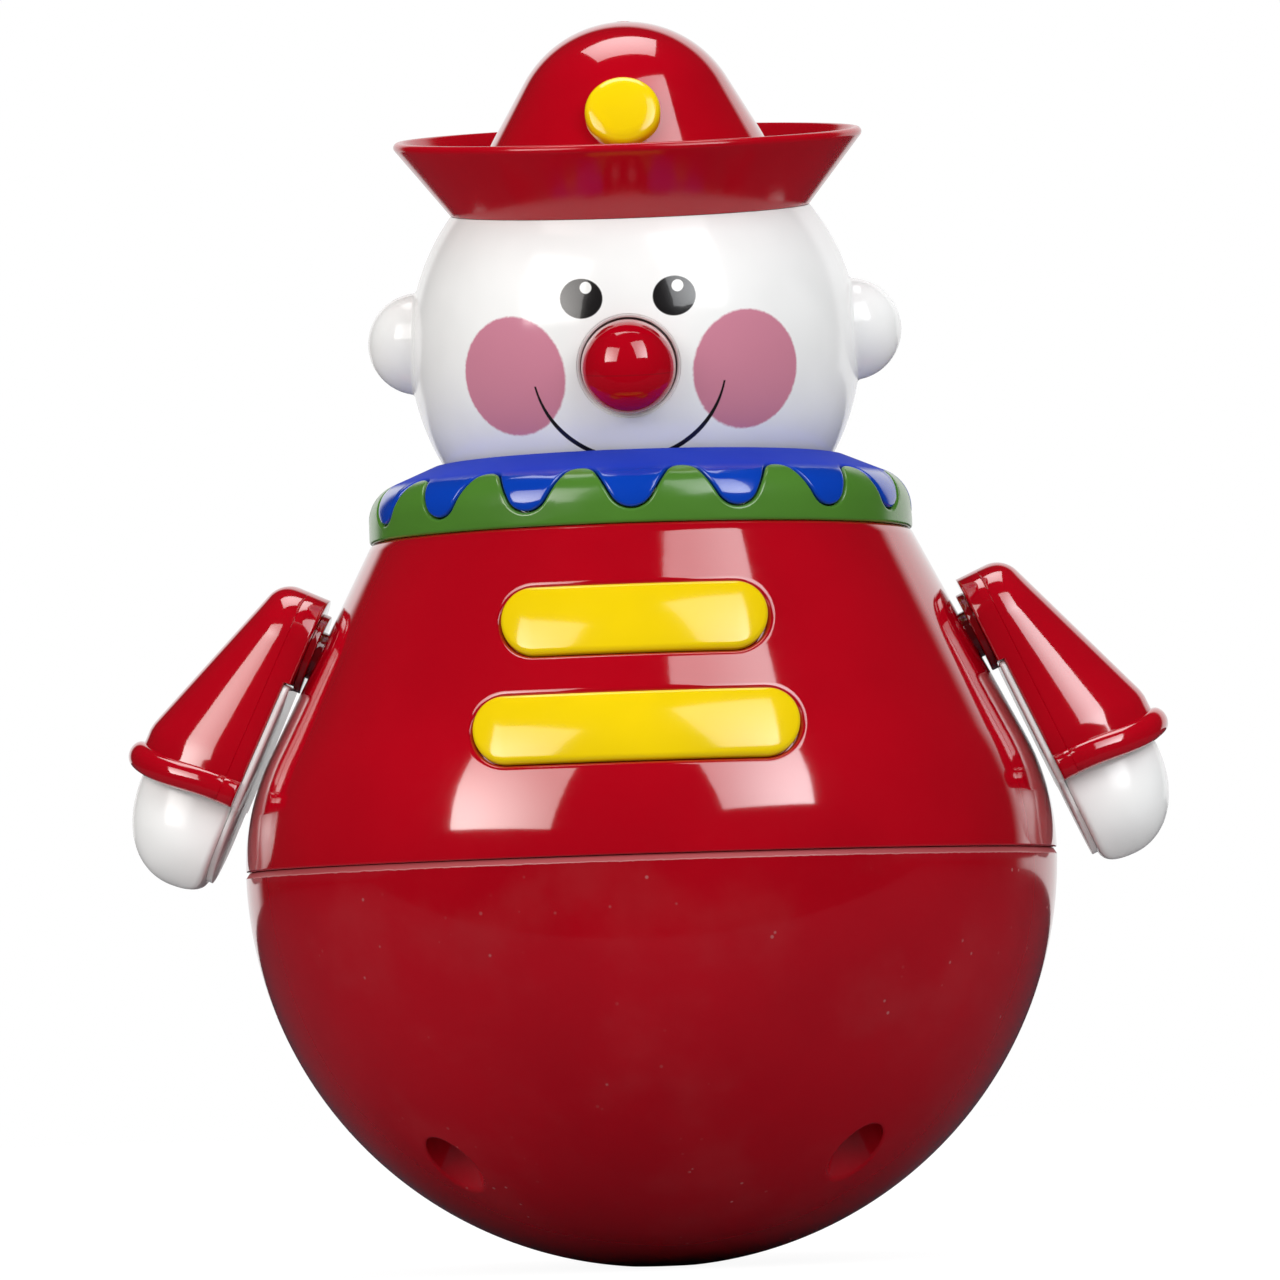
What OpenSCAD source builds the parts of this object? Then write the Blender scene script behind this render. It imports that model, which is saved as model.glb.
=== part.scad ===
// Roly poly clown: a round weighted base, a conical body, turning arms and a turning head.
// Millimetres. +Z is up, the face looks along -Y, and the origin is the centre of the flat foot.

/* [Body shells] */
// Outer radius of the round base
ball_r = 65; // [58:0.5:72]
// Radius of the small flat that the toy rests on
foot_r = 5.5; // [4:0.25:8]
// Wall of the base and body shells
wall = 2.6; // [2.2:0.1:3.2]
// Height of the body shell from the seam to its deck
body_h = 52; // [48:0.5:56]
// Radius that blends the seam into the cone
blend_r = 40.4; // [36:0.2:44]
// Thickness of the deck under the collar
deck_t = 2.6; // [2:0.1:4]
// Width of the groove along the seam
seam_groove_w = 0.9; // [0.4:0.1:1.4]
// Height of the lip that keys the base into the body
lip_h = 2.4; // [1.6:0.2:4]
// Thickness of that lip
lip_t = 1.6; // [1.2:0.1:2.4]

/* [Fits] */
// Gap around a piece that seats in another
seat_gap = 0.2; // [0.12:0.02:0.3]
// Radial clearance of a shaft in its bore
run_gap = 0.06; // [0.03:0.01:0.1]
// Gap between a moving piece and what it passes
move_gap = 0.3; // [0.25:0.05:0.5]

/* [Base screws] */
// Distance of the screws from the axis
screw_circle_r = 44.3; // [41:0.1:46]
// Radius of the screw access holes in the base
screw_access_r = 4.4; // [3.8:0.1:5]
// Wall around each access hole
post_wall = 1.8; // [1.4:0.1:2.4]
// Depth of the post tops below the seam
post_drop = 9; // [6:0.5:14]
// Radius of the bosses above the posts
boss_r = 5; // [4:0.1:5.6]
// Thickness of the ribs that tie the bosses to the wall
rib_t = 2; // [1.4:0.1:3]
// Wall that each screw head bears on
screw_seat_t = 2.4; // [1.8:0.1:3.2]
// Radius of a screw's shank
screw_r = 1.5; // [1.2:0.05:1.8]
// Radius of a screw's head
screw_head_r = 3; // [2.6:0.1:3.5]
// Height of a screw's head
screw_head_h = 2.2; // [1.6:0.1:3]
// Length of a screw below its head
screw_len = 12; // [10:0.5:15]
// Radius of the shank of the small screws in the neck and arms
small_screw_r = 1.2; // [1:0.05:1.4]
// Length of the small screws in the arms
small_screw_len = 8; // [6:0.5:8.5]
// Thickness of the washers on the neck and arms
washer_t = 1.8; // [1.4:0.1:2.2]
// How far the washers reach past the bearings
washer_over = 1; // [0.5:0.1:1.5]

/* [Ballast] */
// Radius of the iron weight
ballast_r = 36; // [32:0.5:37]
// Height of the iron weight
ballast_h = 15; // [12:0.5:18]
// Radius of the post through the weight
ballast_post_r = 4.4; // [4:0.1:6]
// Radius of the disc that holds the weight down
cover_r = 16; // [10:0.5:24]
// Thickness of that disc
cover_t = 2; // [1.6:0.1:3]

/* [Chest bars] */
// Width of the upper bar, seen from the front
upper_bar_w = 41.4; // [36:0.2:46]
// Height of the upper bar's middle above the seam
upper_bar_z = 36.8; // [34:0.2:40]
// Width of the lower bar, seen from the front
lower_bar_w = 50.5; // [44:0.2:54]
// Height of the lower bar's middle above the seam
lower_bar_z = 19.8; // [17:0.2:22]
// Height of each bar
bar_h = 10.3; // [9:0.1:11.5]
// How far the bars stand out of the body
bar_proud = 1.1; // [0.6:0.1:1.6]
// Depth of the recesses that the bars sit in
bar_depth = 1.2; // [0.8:0.1:1.4]
// Width of the rounded edge of a bar
bar_round = 2.2; // [1:0.1:3]

/* [Collar] */
// Width of the collar from its mouth to its rim
collar_w = 10.8; // [10.4:0.1:11.2]
// How far the collar's rim stands past the body
collar_lip = 0.3; // [0.2:0.05:0.6]
// Height of the collar above the deck
collar_h = 13.3; // [12:0.1:14]
// Gap between the head and the collar's mouth
collar_gap = 1; // [0.8:0.05:1.2]
// Slope of the collar's top
collar_slope = 30; // [26:1:34]
// Radius of the collar's shoulder
collar_shoulder_r = 6; // [5:0.1:7]
// Number of scallops round the collar
lobes = 16; // [12:1:18]
// Lean of the scallops' faces from upright
lobe_tilt = 38; // [34:0.5:42]
// Radius of an upper scallop's round tip
lobe_r = 3.4; // [3:0.05:3.7]
// Depth of the upper scallops' tips below the shoulder's middle
lobe_drop = 5.1; // [4.8:0.05:5.4]
// Radius of a lower scallop's round peak
peak_r = 2.7; // [2.4:0.05:3]
// Height of the lower scallops' peaks above the shoulder's middle
peak_rise = 2.8; // [2.6:0.05:3.1]
// Gap between the two collar rings
lobe_gap = 0.4; // [0.3:0.05:0.5]
// Thickness of the upper ring
collar_skin = 2.2; // [1.6:0.1:2.6]
// Wall of the lower ring
collar_wall = 1.8; // [1.4:0.1:2.4]
// Radius of the pegs that fix the collar to the deck
peg_r = 1.7; // [1.4:0.1:1.9]

/* [Head] */
// Radius of the head
head_r = 36.25; // [35:0.05:36.5]
// Height of the head's centre above the deck, as a share of the head's radius
head_share = 0.847; // [0.835:0.001:0.86]
// Forward tilt of the head
head_tilt = 8; // [0:0.5:10]
// Wall of the head
head_wall = 2.2; // [1.8:0.1:2.8]
// Thickness of the head's floor
head_floor_t = 2.4; // [2:0.1:3]
// Radius of the ball ears
ear_r = 8.2; // [7:0.1:9]
// Depth of the ears' centres under the head's surface
ear_sink = 1.55; // [0.5:0.05:3]
// Height of the ears' centres above the head's centre
ear_up = 1.6; // [0:0.1:3]
// Room round the neck's flange inside the head
neck_room = 4.4; // [3.5:0.1:5]
// Width of the neck's flange
neck_flange_w = 6; // [5.4:0.1:6.5]
// Thickness of the neck's flange
neck_flange_t = 2.4; // [2:0.1:3]
// Length of the neck's bearing under the deck's top
neck_bearing_h = 9; // [7:0.5:12]
// Turn of the head each way
head_turn_deg = 60; // [50:1:65]
// Radius of the pins that stop the head's turn
stop_pin_r = 1.6; // [1.2:0.1:2]
// Width of the lug that meets those pins
stop_lug_w = 4; // [3:0.1:5]
// Wall of a bearing
bearing_wall = 2.8; // [2:0.1:3.5]

/* [Nose] */
// Radius of the nose ball
nose_r = 7.44; // [7:0.02:7.6]
// Height of the nose's centre above the head's surface
nose_proud = 0.75; // [0.4:0.05:1.2]
// Height angle of the nose on the tilted head
nose_deg = -1.2; // [-4:0.2:2]
// Gap between the nose and the rim of its dish
dish_gap = 0.76; // [0.66:0.02:0.86]
// Gap behind the pressed nose
dish_clear = 0.5; // [0.4:0.05:0.6]
// Travel of the nose when pressed
nose_travel = 2.5; // [1.5:0.1:2.8]
// Radius of the nose's stem
stem_r = 2.6; // [2.2:0.1:3]
// Depth of the stem's guide behind the dish
guide_h = 8; // [6:0.5:10]
// Thickness of the guide's floor, which the spring stands on
guide_floor_t = 2.4; // [2:0.1:3]
// Thickness of the clip on the stem
clip_t = 1.4; // [1:0.1:2]
// Thickness of the spring wire
spring_wire = 0.7; // [0.5:0.05:0.8]
// Number of turns in the spring
spring_turns = 5; // [4:1:6]
// Number of straight pieces in each turn of the spring
spring_steps = 12; // [8:1:16]

/* [Hat] */
// Latitude of the hat's lower edge on the head
hat_deg = 37.4; // [36:0.1:39]
// How far the brim's rim stands past the hat's lower edge
rim_out = 7.6; // [6.5:0.1:9]
// Height of the brim's rim above the hat's lower edge
rim_h = 11.4; // [10:0.1:13]
// Thickness of the brim
rim_t = 1.6; // [1.2:0.1:2.2]
// Height of the trough's floor above the hat's lower edge
trough_h = 5.6; // [5:0.1:6.5]
// Wall of the crown
hat_wall = 2; // [1.6:0.1:2.4]
// How far the crown's round top stands in from the hat's lower edge
crown_in = 10.5; // [9.5:0.1:11.5]
// Height of that round's centre above the hat's lower edge
crown_lift = 11.9; // [11:0.1:13]
// Half angle of the crown's cone
crown_deg = 29.7; // [27:0.1:32]
// Depth of the spigot that plugs into the head
spigot_h = 4.5; // [3:0.5:6]
// Wall of the spigot
spigot_t = 2; // [1.6:0.1:2.6]
// Radius of the hat's badge
badge_r = 6; // [5:0.1:7]
// Height of the badge's middle above the hat's lower edge
badge_lift = 16.2; // [15:0.1:17.5]
// Total thickness of the badge
badge_t = 3; // [2.4:0.1:3.6]
// How deep the badge sits in the crown
badge_depth = 1.2; // [0.8:0.1:1.4]
// Radius of the badge's rounded edge
badge_round = 1.2; // [0.6:0.1:1.6]
// Radius of the badge's peg
badge_peg_r = 1.4; // [1:0.1:2]

/* [Arms] */
// Height of the arm pivots above the seam
arm_lift = 34.5; // [32:0.1:36]
// How much steeper the arms hang than the body's side
arm_toe = 2.6; // [2.2:0.1:3]
// Gap between the body and the hub disc
hub_gap = 0.6; // [0.55:0.05:0.9]
// Thickness of the hub disc
hub_t = 1.2; // [1.1:0.05:1.5]
// Radius of the hub disc
hub_r = 6.7; // [6:0.1:7.5]
// Radius of the arm's shaft
shaft_r = 3.5; // [3:0.1:4]
// Length of the shaft's bearing inside the body
shaft_bearing_h = 9; // [7:0.5:11]
// Radius of the hub's square-shouldered end in the sleeve
hub_end_r = 4.6; // [4.2:0.1:5]
// Thickness of the arm's back plate
plate_t = 1; // [0.8:0.05:1.4]
// Radius of the sleeve's rounded top
sleeve_top_r = 9; // [8.5:0.1:10]
// Thickness of the sleeve over the pivot
sleeve_thick = 10.6; // [9.5:0.1:12]
// Flare of the sleeve's outer side
sleeve_flare_deg = 19.3; // [17:0.1:21]
// Rounding of the sleeve's shoulder
shoulder_round = 4.5; // [3.5:0.1:5.5]
// Height of the sleeve's straight sides
sleeve_side = 2.6; // [2:0.1:4]
// Half width of the sleeve at the cuff
cuff_half_w = 12; // [10.5:0.1:13]
// Distance from the pivot to the end of the flare
flare_len = 20.6; // [18:0.1:22]
// Distance from the end of the flare to the middle of the cuff's bead
bead_step = 5; // [4.2:0.1:6]
// Half length of the cuff's bead
bead_r = 2.2; // [1.6:0.1:2.8]
// Height of the cuff's bead
bead_h = 1.7; // [1:0.1:2.2]
// Wall of the sleeve
sleeve_wall = 2; // [1.6:0.1:2.6]
// Length of the hand below the cuff
hand_len = 14.6; // [12:0.1:17]
// Half width of the hand
hand_half_w = 10.4; // [8.5:0.1:11.4]
// Thickness of the hand at the cuff
hand_thick = 15; // [13:0.1:16]
// Share of the hand's length where its sides start to close
hand_taper = 0.3; // [0.2:0.05:0.4]
// Share of the hand's length where its thickness starts to close
hand_close = 0.5; // [0.4:0.05:0.6]
// Swell of the hand below the cuff
hand_belly = 0.8; // [0.4:0.1:1.2]
// How far the hand's tip turns away from its back
hand_curl = 2; // [1:0.1:3]
// Depth of the hand's tang inside the sleeve
tang_len = 10; // [6:0.5:13]

/* [Hidden] */
$fn = 96;
eps = 0.01;
far = 200;
RED = [0.72, 0.01, 0.06];
WHITE = [0.95, 0.95, 0.93];
BLUE = [0.03, 0.20, 0.75];
GREEN = [0.33, 0.58, 0.16];
YELLOW = [0.95, 0.83, 0.03];
STEEL = [0.62, 0.62, 0.60];
IRON = [0.30, 0.30, 0.31];

// Head and collar sizes
head_lift = head_r * head_share;
hat_seat = head_r * sin(hat_deg);
collar_mouth_r = sqrt(pow(head_r, 2) - pow(head_lift - collar_h, 2)) + collar_gap;
collar_r = collar_mouth_r + collar_w;
ear_out = head_r - ear_sink;
nose_out = head_r + nose_proud;
neck_flange_r = sqrt(pow(head_r - head_wall, 2) - pow(head_lift - move_gap - head_floor_t, 2)) - neck_room;
neck_r = neck_flange_r - neck_flange_w;

// Body lines
seam_z = sqrt(ball_r * ball_r - foot_r * foot_r);
deck_z = seam_z + body_h;
blend_x = ball_r - blend_r;
deck_r = collar_r - collar_lip;
cone_deg = asin(blend_r / norm([deck_r - blend_x, body_h])) - atan2(deck_r - blend_x, body_h);
blend_end_z = seam_z + blend_r * sin(cone_deg);
function cone_r(z, inset) =
    blend_x + (blend_r - inset) / cos(cone_deg) - (z - seam_z) * tan(cone_deg);
function body_r(z) =
    z < blend_end_z ? blend_x + sqrt(pow(blend_r, 2) - pow(z - seam_z, 2)) : cone_r(z, 0);
function body_lean(z) =
    z < blend_end_z ? sqrt(1 - pow((z - seam_z) / blend_r, 2)) : cos(cone_deg);

// Screw posts and bosses
post_r = screw_access_r + post_wall;
post_top = seam_z - post_drop;
boss_top = deck_z - (screw_circle_r + boss_r + wall / 4 - deck_r) / tan(cone_deg);
screw_hole_r = screw_r + 2 * seat_gap;
pilot_r = screw_r + run_gap;
screw_angles = [45, 135, 225, 315];

// Ballast
ballast_bottom = seam_z - ball_r + wall + seat_gap;
ballast_top = ballast_bottom + ballast_h;
ballast_screw_seat = ballast_top + cover_t;

// Collar lines
collar_top = deck_z + collar_h;
shoulder_x = collar_r - collar_shoulder_r;
shoulder_z = collar_top - collar_shoulder_r * cos(collar_slope)
    - (shoulder_x + collar_shoulder_r * sin(collar_slope) - collar_mouth_r) * tan(collar_slope);
mid_x = shoulder_x + collar_shoulder_r * cos(lobe_tilt);
mid_z = shoulder_z + collar_shoulder_r * sin(lobe_tilt);
half_pitch = mid_x * sin(180 / lobes);
cutter_h = 16;
peg_top = shoulder_z + collar_shoulder_r - collar_skin - collar_wall / 2;
peg_angles = [0, 90, 180, 270];

// Scalloped line: round tips and peaks, and the straight flanks that touch both
notch_r = peak_r + lobe_gap;
lobe_c = lobe_drop - lobe_r;
peak_c = peak_rise - peak_r;
flank_deg = atan2(half_pitch, peak_c + lobe_c)
    - asin((lobe_r + notch_r) / norm([half_pitch, peak_c + lobe_c]));
flank_mid = lobe_r / cos(flank_deg) + lobe_c * tan(flank_deg);
flank_over = 0.6;
function flank_w(x, grow) = flank_mid + grow / cos(flank_deg) - x * tan(flank_deg);
function crest(grow) = peak_c + (notch_r - grow) * sin(flank_deg) + flank_over;

// Head lines
head_z = deck_z + head_lift;
head_bottom = deck_z + move_gap;
flange_bottom = head_bottom + head_floor_t;
neck_end = deck_z - neck_bearing_h - move_gap;
neck_screw_circle = (neck_r + neck_flange_r) / 2;
neck_washer_r = neck_r + bearing_wall + washer_over;
stop_circle_r = neck_washer_r + move_gap + stop_pin_r;
stop_deg = head_turn_deg + asin((stop_lug_w / 2 + stop_pin_r + run_gap) / stop_circle_r);
neck_screw_len = neck_flange_t + head_floor_t - 2 * seat_gap;

// Nose lines, along the nose's own axis
dish_r = nose_r + dish_gap;
dish_out = nose_out - nose_travel - dish_clear;
guide_top = dish_out - dish_r + dish_gap;
guide_bottom = guide_top - guide_h;
spring_r = stem_r + spring_wire + 2 * seat_gap;
spring_bore_r = spring_r + spring_wire / 2 + seat_gap;
spring_bottom = guide_bottom + guide_floor_t;
spring_top = nose_out - sqrt(pow(nose_r, 2) - pow(spring_r - spring_wire / 2, 2)) - seat_gap;

// Hat lines, from the head's centre
hat_seat_r = sqrt(pow(head_r, 2) - pow(hat_seat, 2));
spigot_r = sqrt(pow(head_r - head_wall, 2) - pow(hat_seat, 2)) - seat_gap;
crown_r = hat_seat_r - crown_in;
trough_a = hat_seat + trough_h;
crown_a = hat_seat + crown_lift;
rim_slope = atan2(rim_out, rim_h);
badge_a = hat_seat + badge_lift;
badge_peg_len = hat_wall + badge_depth;
function crown_cone_r(a, inset) =
    (crown_r - inset) / cos(crown_deg) - (a - crown_a) * tan(crown_deg);

// Arm lines, in the arm's own axes: X down the arm, Z outward
arm_lean = cone_deg - arm_toe;
arm_z = seam_z + arm_lift;
arm_x = body_r(arm_z);
plate_s = hub_gap + hub_t;
back_s = plate_s + plate_t;
bead_t = flare_len + bead_step;
cuff_end = bead_t + bead_r - eps;
hand_end = cuff_end + hand_len;
arc_steps = 8;
coarse_steps = 3;
shaft_end = -shaft_bearing_h - move_gap;

// Shared shapes
module revolve() {
    rotate_extrude(convexity = 8) children();
}

module ring(r_out, r_in, h) {
    difference() {
        cylinder(r = r_out, h = h);
        translate([0, 0, -eps]) cylinder(r = r_in, h = h + 2 * eps);
    }
}

module screw(r, head_r, head_h, len) {
    translate([0, 0, -head_h]) cylinder(r = head_r, h = head_h);
    translate([0, 0, -eps]) cylinder(r = r, h = len + eps);
}

module around(angles, r) {
    for (a = angles) rotate([0, 0, a]) translate([r, 0, 0]) children();
}

// Skin over rings that all have the same number of points.
// Point k of a ring mirrors point n - k, which closes the first and last rings.
function cap_faces(o, n) = concat(
    [[o, o + 1, o + n - 1]],
    [for (k = [1 : floor((n - 1) / 2) - 1])
        each [[o + k, o + k + 1, o + n - k - 1], [o + k, o + n - k - 1, o + n - k]]],
    n % 2 == 0 ? [[o + n / 2 - 1, o + n / 2, o + n / 2 + 1]] : []);
function side_faces(m, n) =
    [for (i = [0 : m - 2], k = [0 : n - 1])
        let (a = i * n + k, b = i * n + (k + 1) % n)
            each [[a, b, b + n], [a, b + n, a + n]]];
function flipped(faces) = [for (f = faces) [f[2], f[1], f[0]]];

module loft(rings) {
    n = len(rings[0]);
    m = len(rings);
    polyhedron(
        points = [for (r = rings) each r],
        faces = concat(flipped(cap_faces(0, n)), side_faces(m, n), cap_faces((m - 1) * n, n)),
        convexity = 6);
}

// Body profiles, filled to the axis
module base_profile(inset) {
    intersection() {
        translate([0, seam_z]) circle(ball_r - inset);
        square([ball_r, seam_z]);
    }
}

module body_profile(inset, top) {
    r = blend_r - inset;
    end_z = seam_z + r * sin(cone_deg);
    end_x = blend_x + r * cos(cone_deg);
    intersection() {
        translate([blend_x, seam_z]) circle(r);
        translate([0, seam_z]) square([blend_x + r, end_z - seam_z]);
    }
    polygon([[0, end_z], [end_x, end_z], [cone_r(top, inset), top], [0, top]]);
}

module seam_groove() {
    translate([ball_r, seam_z]) rotate(45) square(seam_groove_w, center = true);
}

// Base
module base_shell() {
    color(RED) difference() {
        union() {
            revolve() difference() {
                base_profile(0);
                base_profile(wall);
                seam_groove();
            }
            revolve() lip_profile();
            around(screw_angles, screw_circle_r) base_post();
            translate([0, 0, wall / 2]) cylinder(r = ballast_post_r, h = ballast_top - wall / 2);
        }
        around(screw_angles, screw_circle_r) {
            translate([0, 0, -eps]) cylinder(r = screw_access_r, h = post_top - screw_seat_t + eps);
            cylinder(r = screw_hole_r, h = far);
        }
        translate([0, 0, ballast_screw_seat - screw_len]) cylinder(r = pilot_r, h = far);
    }
}

module lip_profile() {
    in_x = ball_r - wall - lip_t;
    out_x = ball_r - wall - seat_gap;
    root_x = ball_r - wall / 2;
    polygon([
        [in_x, seam_z - 2 * lip_t], [root_x, seam_z - lip_t], [root_x, seam_z - seat_gap],
        [out_x, seam_z], [out_x, seam_z + lip_h], [in_x, seam_z + lip_h]]);
}

module base_post() {
    floor_z = seam_z - sqrt(pow(ball_r - wall / 2, 2) - pow(screw_circle_r - post_r, 2));
    intersection() {
        translate([0, 0, floor_z]) cylinder(r = post_r, h = post_top - floor_z);
        translate([-screw_circle_r, 0, seam_z]) sphere(ball_r - wall / 2);
    }
}

module base_screws() {
    color(STEEL) around(screw_angles, screw_circle_r)
        translate([0, 0, post_top - screw_seat_t])
            screw(screw_r, screw_head_r, screw_head_h, screw_len);
}

// Ballast
module ballast_weight() {
    color(IRON) difference() {
        revolve() intersection() {
            translate([0, seam_z]) circle(ball_r - wall - seat_gap);
            translate([0, ballast_bottom]) square([ballast_r, ballast_h]);
        }
        translate([0, 0, -eps]) cylinder(r = ballast_post_r + seat_gap, h = far);
    }
}

module ballast_cover() {
    color(WHITE) translate([0, 0, ballast_top]) ring(cover_r, screw_hole_r, cover_t);
}

module ballast_screw() {
    color(STEEL) translate([0, 0, ballast_screw_seat]) mirror([0, 0, 1])
        screw(screw_r, screw_head_r, screw_head_h, screw_len - eps);
}

// Body
module body_shell() {
    color(RED) difference() {
        union() {
            revolve() difference() {
                body_profile(0, deck_z);
                body_profile(wall, deck_z - deck_t);
                seam_groove();
            }
            around(screw_angles, screw_circle_r) translate([0, 0, post_top])
                cylinder(r = boss_r, h = boss_top - post_top);
            boss_ribs();
            translate([0, 0, deck_z - neck_bearing_h])
                cylinder(r = neck_r + run_gap + bearing_wall, h = neck_bearing_h - deck_t / 2);
            around([-90 - stop_deg, stop_deg - 90], stop_circle_r)
                translate([0, 0, neck_end - washer_t])
                    cylinder(r = stop_pin_r, h = deck_z - deck_t / 2 - neck_end + washer_t);
            for (turn = [0, 180]) on_arm(turn) translate([0, 0, -shaft_bearing_h])
                cylinder(r = shaft_r + run_gap + bearing_wall, h = shaft_bearing_h - wall / 2);
        }
        around(screw_angles, screw_circle_r) cylinder(r = pilot_r, h = post_top + screw_len);
        translate([0, 0, post_top]) cylinder(r = neck_r + run_gap, h = far);
        for (turn = [0, 180]) on_arm(turn) translate([0, 0, -2 * shaft_bearing_h])
            cylinder(r = shaft_r + run_gap, h = 4 * shaft_bearing_h);
        around(peg_angles, shoulder_x) translate([0, 0, deck_z - 2 * deck_t])
            cylinder(r = peg_r + seat_gap, h = 4 * deck_t);
        bar_recess(upper_bar_w, seam_z + upper_bar_z);
        bar_recess(lower_bar_w, seam_z + lower_bar_z);
    }
}

module boss_ribs() {
    rib_bottom = seam_z + 2 * lip_h;
    intersection() {
        around(screw_angles, screw_circle_r) translate([0, -rib_t / 2, rib_bottom])
            cube([ball_r - screw_circle_r, rib_t, boss_top - rib_bottom]);
        revolve() body_profile(wall / 2, deck_z - deck_t / 2);
    }
}

// Chest bars
module stadium(w, h, z) {
    translate([0, z]) {
        square([w - h, h], center = true);
        for (side = [-1, 1]) translate([side * (w - h) / 2, 0]) circle(h / 2);
    }
}

module bar_recess(w, z) {
    grow = 2 * seat_gap;
    intersection() {
        rotate([90, 0, 0]) linear_extrude(ball_r) stadium(w + grow, bar_h + grow, z);
        revolve() difference() {
            body_profile(-2 * bar_proud, deck_z);
            body_profile(bar_depth, deck_z);
        }
    }
}

quarter = 5;
run = 10;
function stadium_ring(w, h) =
    let (c = (w - h) / 2, r = h / 2, step = 90 / quarter)
    concat(
        [for (k = [0 : quarter - 1]) [c + r * cos(k * step), -r * sin(k * step)]],
        [for (k = [0 : run - 1]) [c - 2 * c * k / run, -r]],
        [for (k = [quarter : 3 * quarter - 1]) [-c + r * cos(k * step), -r * sin(k * step)]],
        [for (k = [0 : run - 1]) [-c + 2 * c * k / run, r]],
        [for (k = [3 * quarter : 4 * quarter - 1]) [c + r * cos(k * step), -r * sin(k * step)]]);
function on_body(ring, z, proud) =
    [for (p = ring)
        let (h = z + p[1], r = body_r(h) + proud / body_lean(h))
        [p[0], -sqrt(r * r - p[0] * p[0]), h]];

module chest_bar(w, z) {
    back = seat_gap - bar_depth;
    edge = bar_proud / 3;
    loft(concat(
        [on_body(stadium_ring(w - bar_h + bar_round, bar_round), z, back)],
        [on_body(stadium_ring(w, bar_h), z, back)],
        [for (a = [0, 22, 45, 67, 90])
            let (inset = bar_round * (1 - cos(a)))
            on_body(stadium_ring(w - 2 * inset, bar_h - 2 * inset), z,
                edge + (bar_proud - edge) * sin(a))]));
}

module upper_chest_bar() {
    color(YELLOW) chest_bar(upper_bar_w, seam_z + upper_bar_z);
}

module lower_chest_bar() {
    color(YELLOW) chest_bar(lower_bar_w, seam_z + lower_bar_z);
}

// Collar
module collar_profile(inset, mouth) {
    r = collar_shoulder_r - inset;
    top_x = shoulder_x + r * sin(collar_slope);
    top_z = shoulder_z + r * cos(collar_slope);
    translate([mouth, deck_z]) square([collar_r - inset - mouth, shoulder_z - deck_z]);
    intersection() {
        translate([shoulder_x, shoulder_z]) circle(r);
        translate([shoulder_x, shoulder_z]) square(r);
    }
    polygon([
        [mouth, shoulder_z], [shoulder_x, shoulder_z], [top_x, top_z],
        [mouth, top_z + (top_x - mouth) * tan(collar_slope)]]);
}

// Space inside the scalloped line, moved outward by grow
module scallops(grow) {
    edge = [mid_x, mid_z] + crest(grow) * [-sin(lobe_tilt), cos(lobe_tilt)];
    difference() {
        union() {
            revolve() polygon([
                edge + cutter_h * [cos(lobe_tilt), sin(lobe_tilt)],
                [edge[0], edge[1] + far], [0, edge[1] + far], [0, edge[1] - edge[0] * tan(lobe_tilt)]]);
            for (k = [0 : lobes - 1]) on_scallop(k) linear_extrude(cutter_h, center = true) tongue(grow);
        }
        for (k = [0 : lobes - 1]) on_scallop(k + 0.5) translate([-peak_c, 0, 0])
            cylinder(r = notch_r - grow, h = 2 * cutter_h, center = true);
    }
}

// Round tip with straight flanks, pointing along X
module tongue(grow) {
    r = lobe_r + grow;
    low = lobe_c + r * sin(flank_deg) + flank_over;
    high = -crest(grow) - flank_over;
    translate([lobe_c, 0]) circle(r);
    polygon([
        [low, flank_w(low, grow)], [high, flank_w(high, grow)],
        [high, -flank_w(high, grow)], [low, -flank_w(low, grow)]]);
}

module on_scallop(k) {
    rotate([0, 0, k * 360 / lobes - 90]) translate([mid_x, 0, mid_z])
        rotate([0, 90 - lobe_tilt, 0]) children();
}

module green_collar() {
    color(GREEN) difference() {
        union() {
            revolve() difference() {
                collar_profile(0, collar_mouth_r);
                collar_profile(collar_skin + collar_wall, collar_mouth_r + collar_wall);
            }
            around(peg_angles, shoulder_x) translate([0, 0, deck_z - deck_t])
                cylinder(r = peg_r, h = peg_top - deck_z + deck_t);
        }
        intersection() {
            revolve() difference() {
                collar_profile(-1, collar_mouth_r - 1);
                collar_profile(collar_skin + seat_gap / 2, 0);
            }
            scallops(lobe_gap);
        }
    }
}

module blue_collar() {
    color(BLUE) intersection() {
        revolve() difference() {
            collar_profile(0, collar_mouth_r);
            collar_profile(collar_skin, 0);
        }
        scallops(0);
    }
}

// Head
module in_head() {
    translate([0, 0, head_z]) rotate([head_tilt, 0, 0]) children();
}

module on_nose() {
    in_head() rotate([90 - nose_deg, 0, 0]) children();
}

module ears(r) {
    for (side = [-1, 1]) translate([side * ear_out, 0, ear_up]) sphere(r);
}

module head_shell() {
    difference() {
        intersection() {
            in_head() {
                sphere(head_r);
                ears(ear_r);
            }
            translate([0, 0, head_bottom]) cylinder(r = far, h = far);
            in_head() translate([0, 0, hat_seat - far]) cylinder(r = far, h = far);
        }
        difference() {
            in_head() {
                sphere(head_r - head_wall);
                ears(ear_r - head_wall);
            }
            translate([0, 0, flange_bottom - far]) cylinder(r = far, h = far);
        }
        translate([0, 0, deck_z]) cylinder(r = neck_r + seat_gap, h = head_lift / 2);
        around(screw_angles, neck_screw_circle)
            translate([0, 0, deck_z]) cylinder(r = small_screw_r + run_gap, h = head_lift / 2);
    }
}

module head_half(back) {
    intersection() {
        head_shell();
        in_head() translate([-far, back ? 0 : -2 * far, -far]) cube(2 * far);
    }
}

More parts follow.
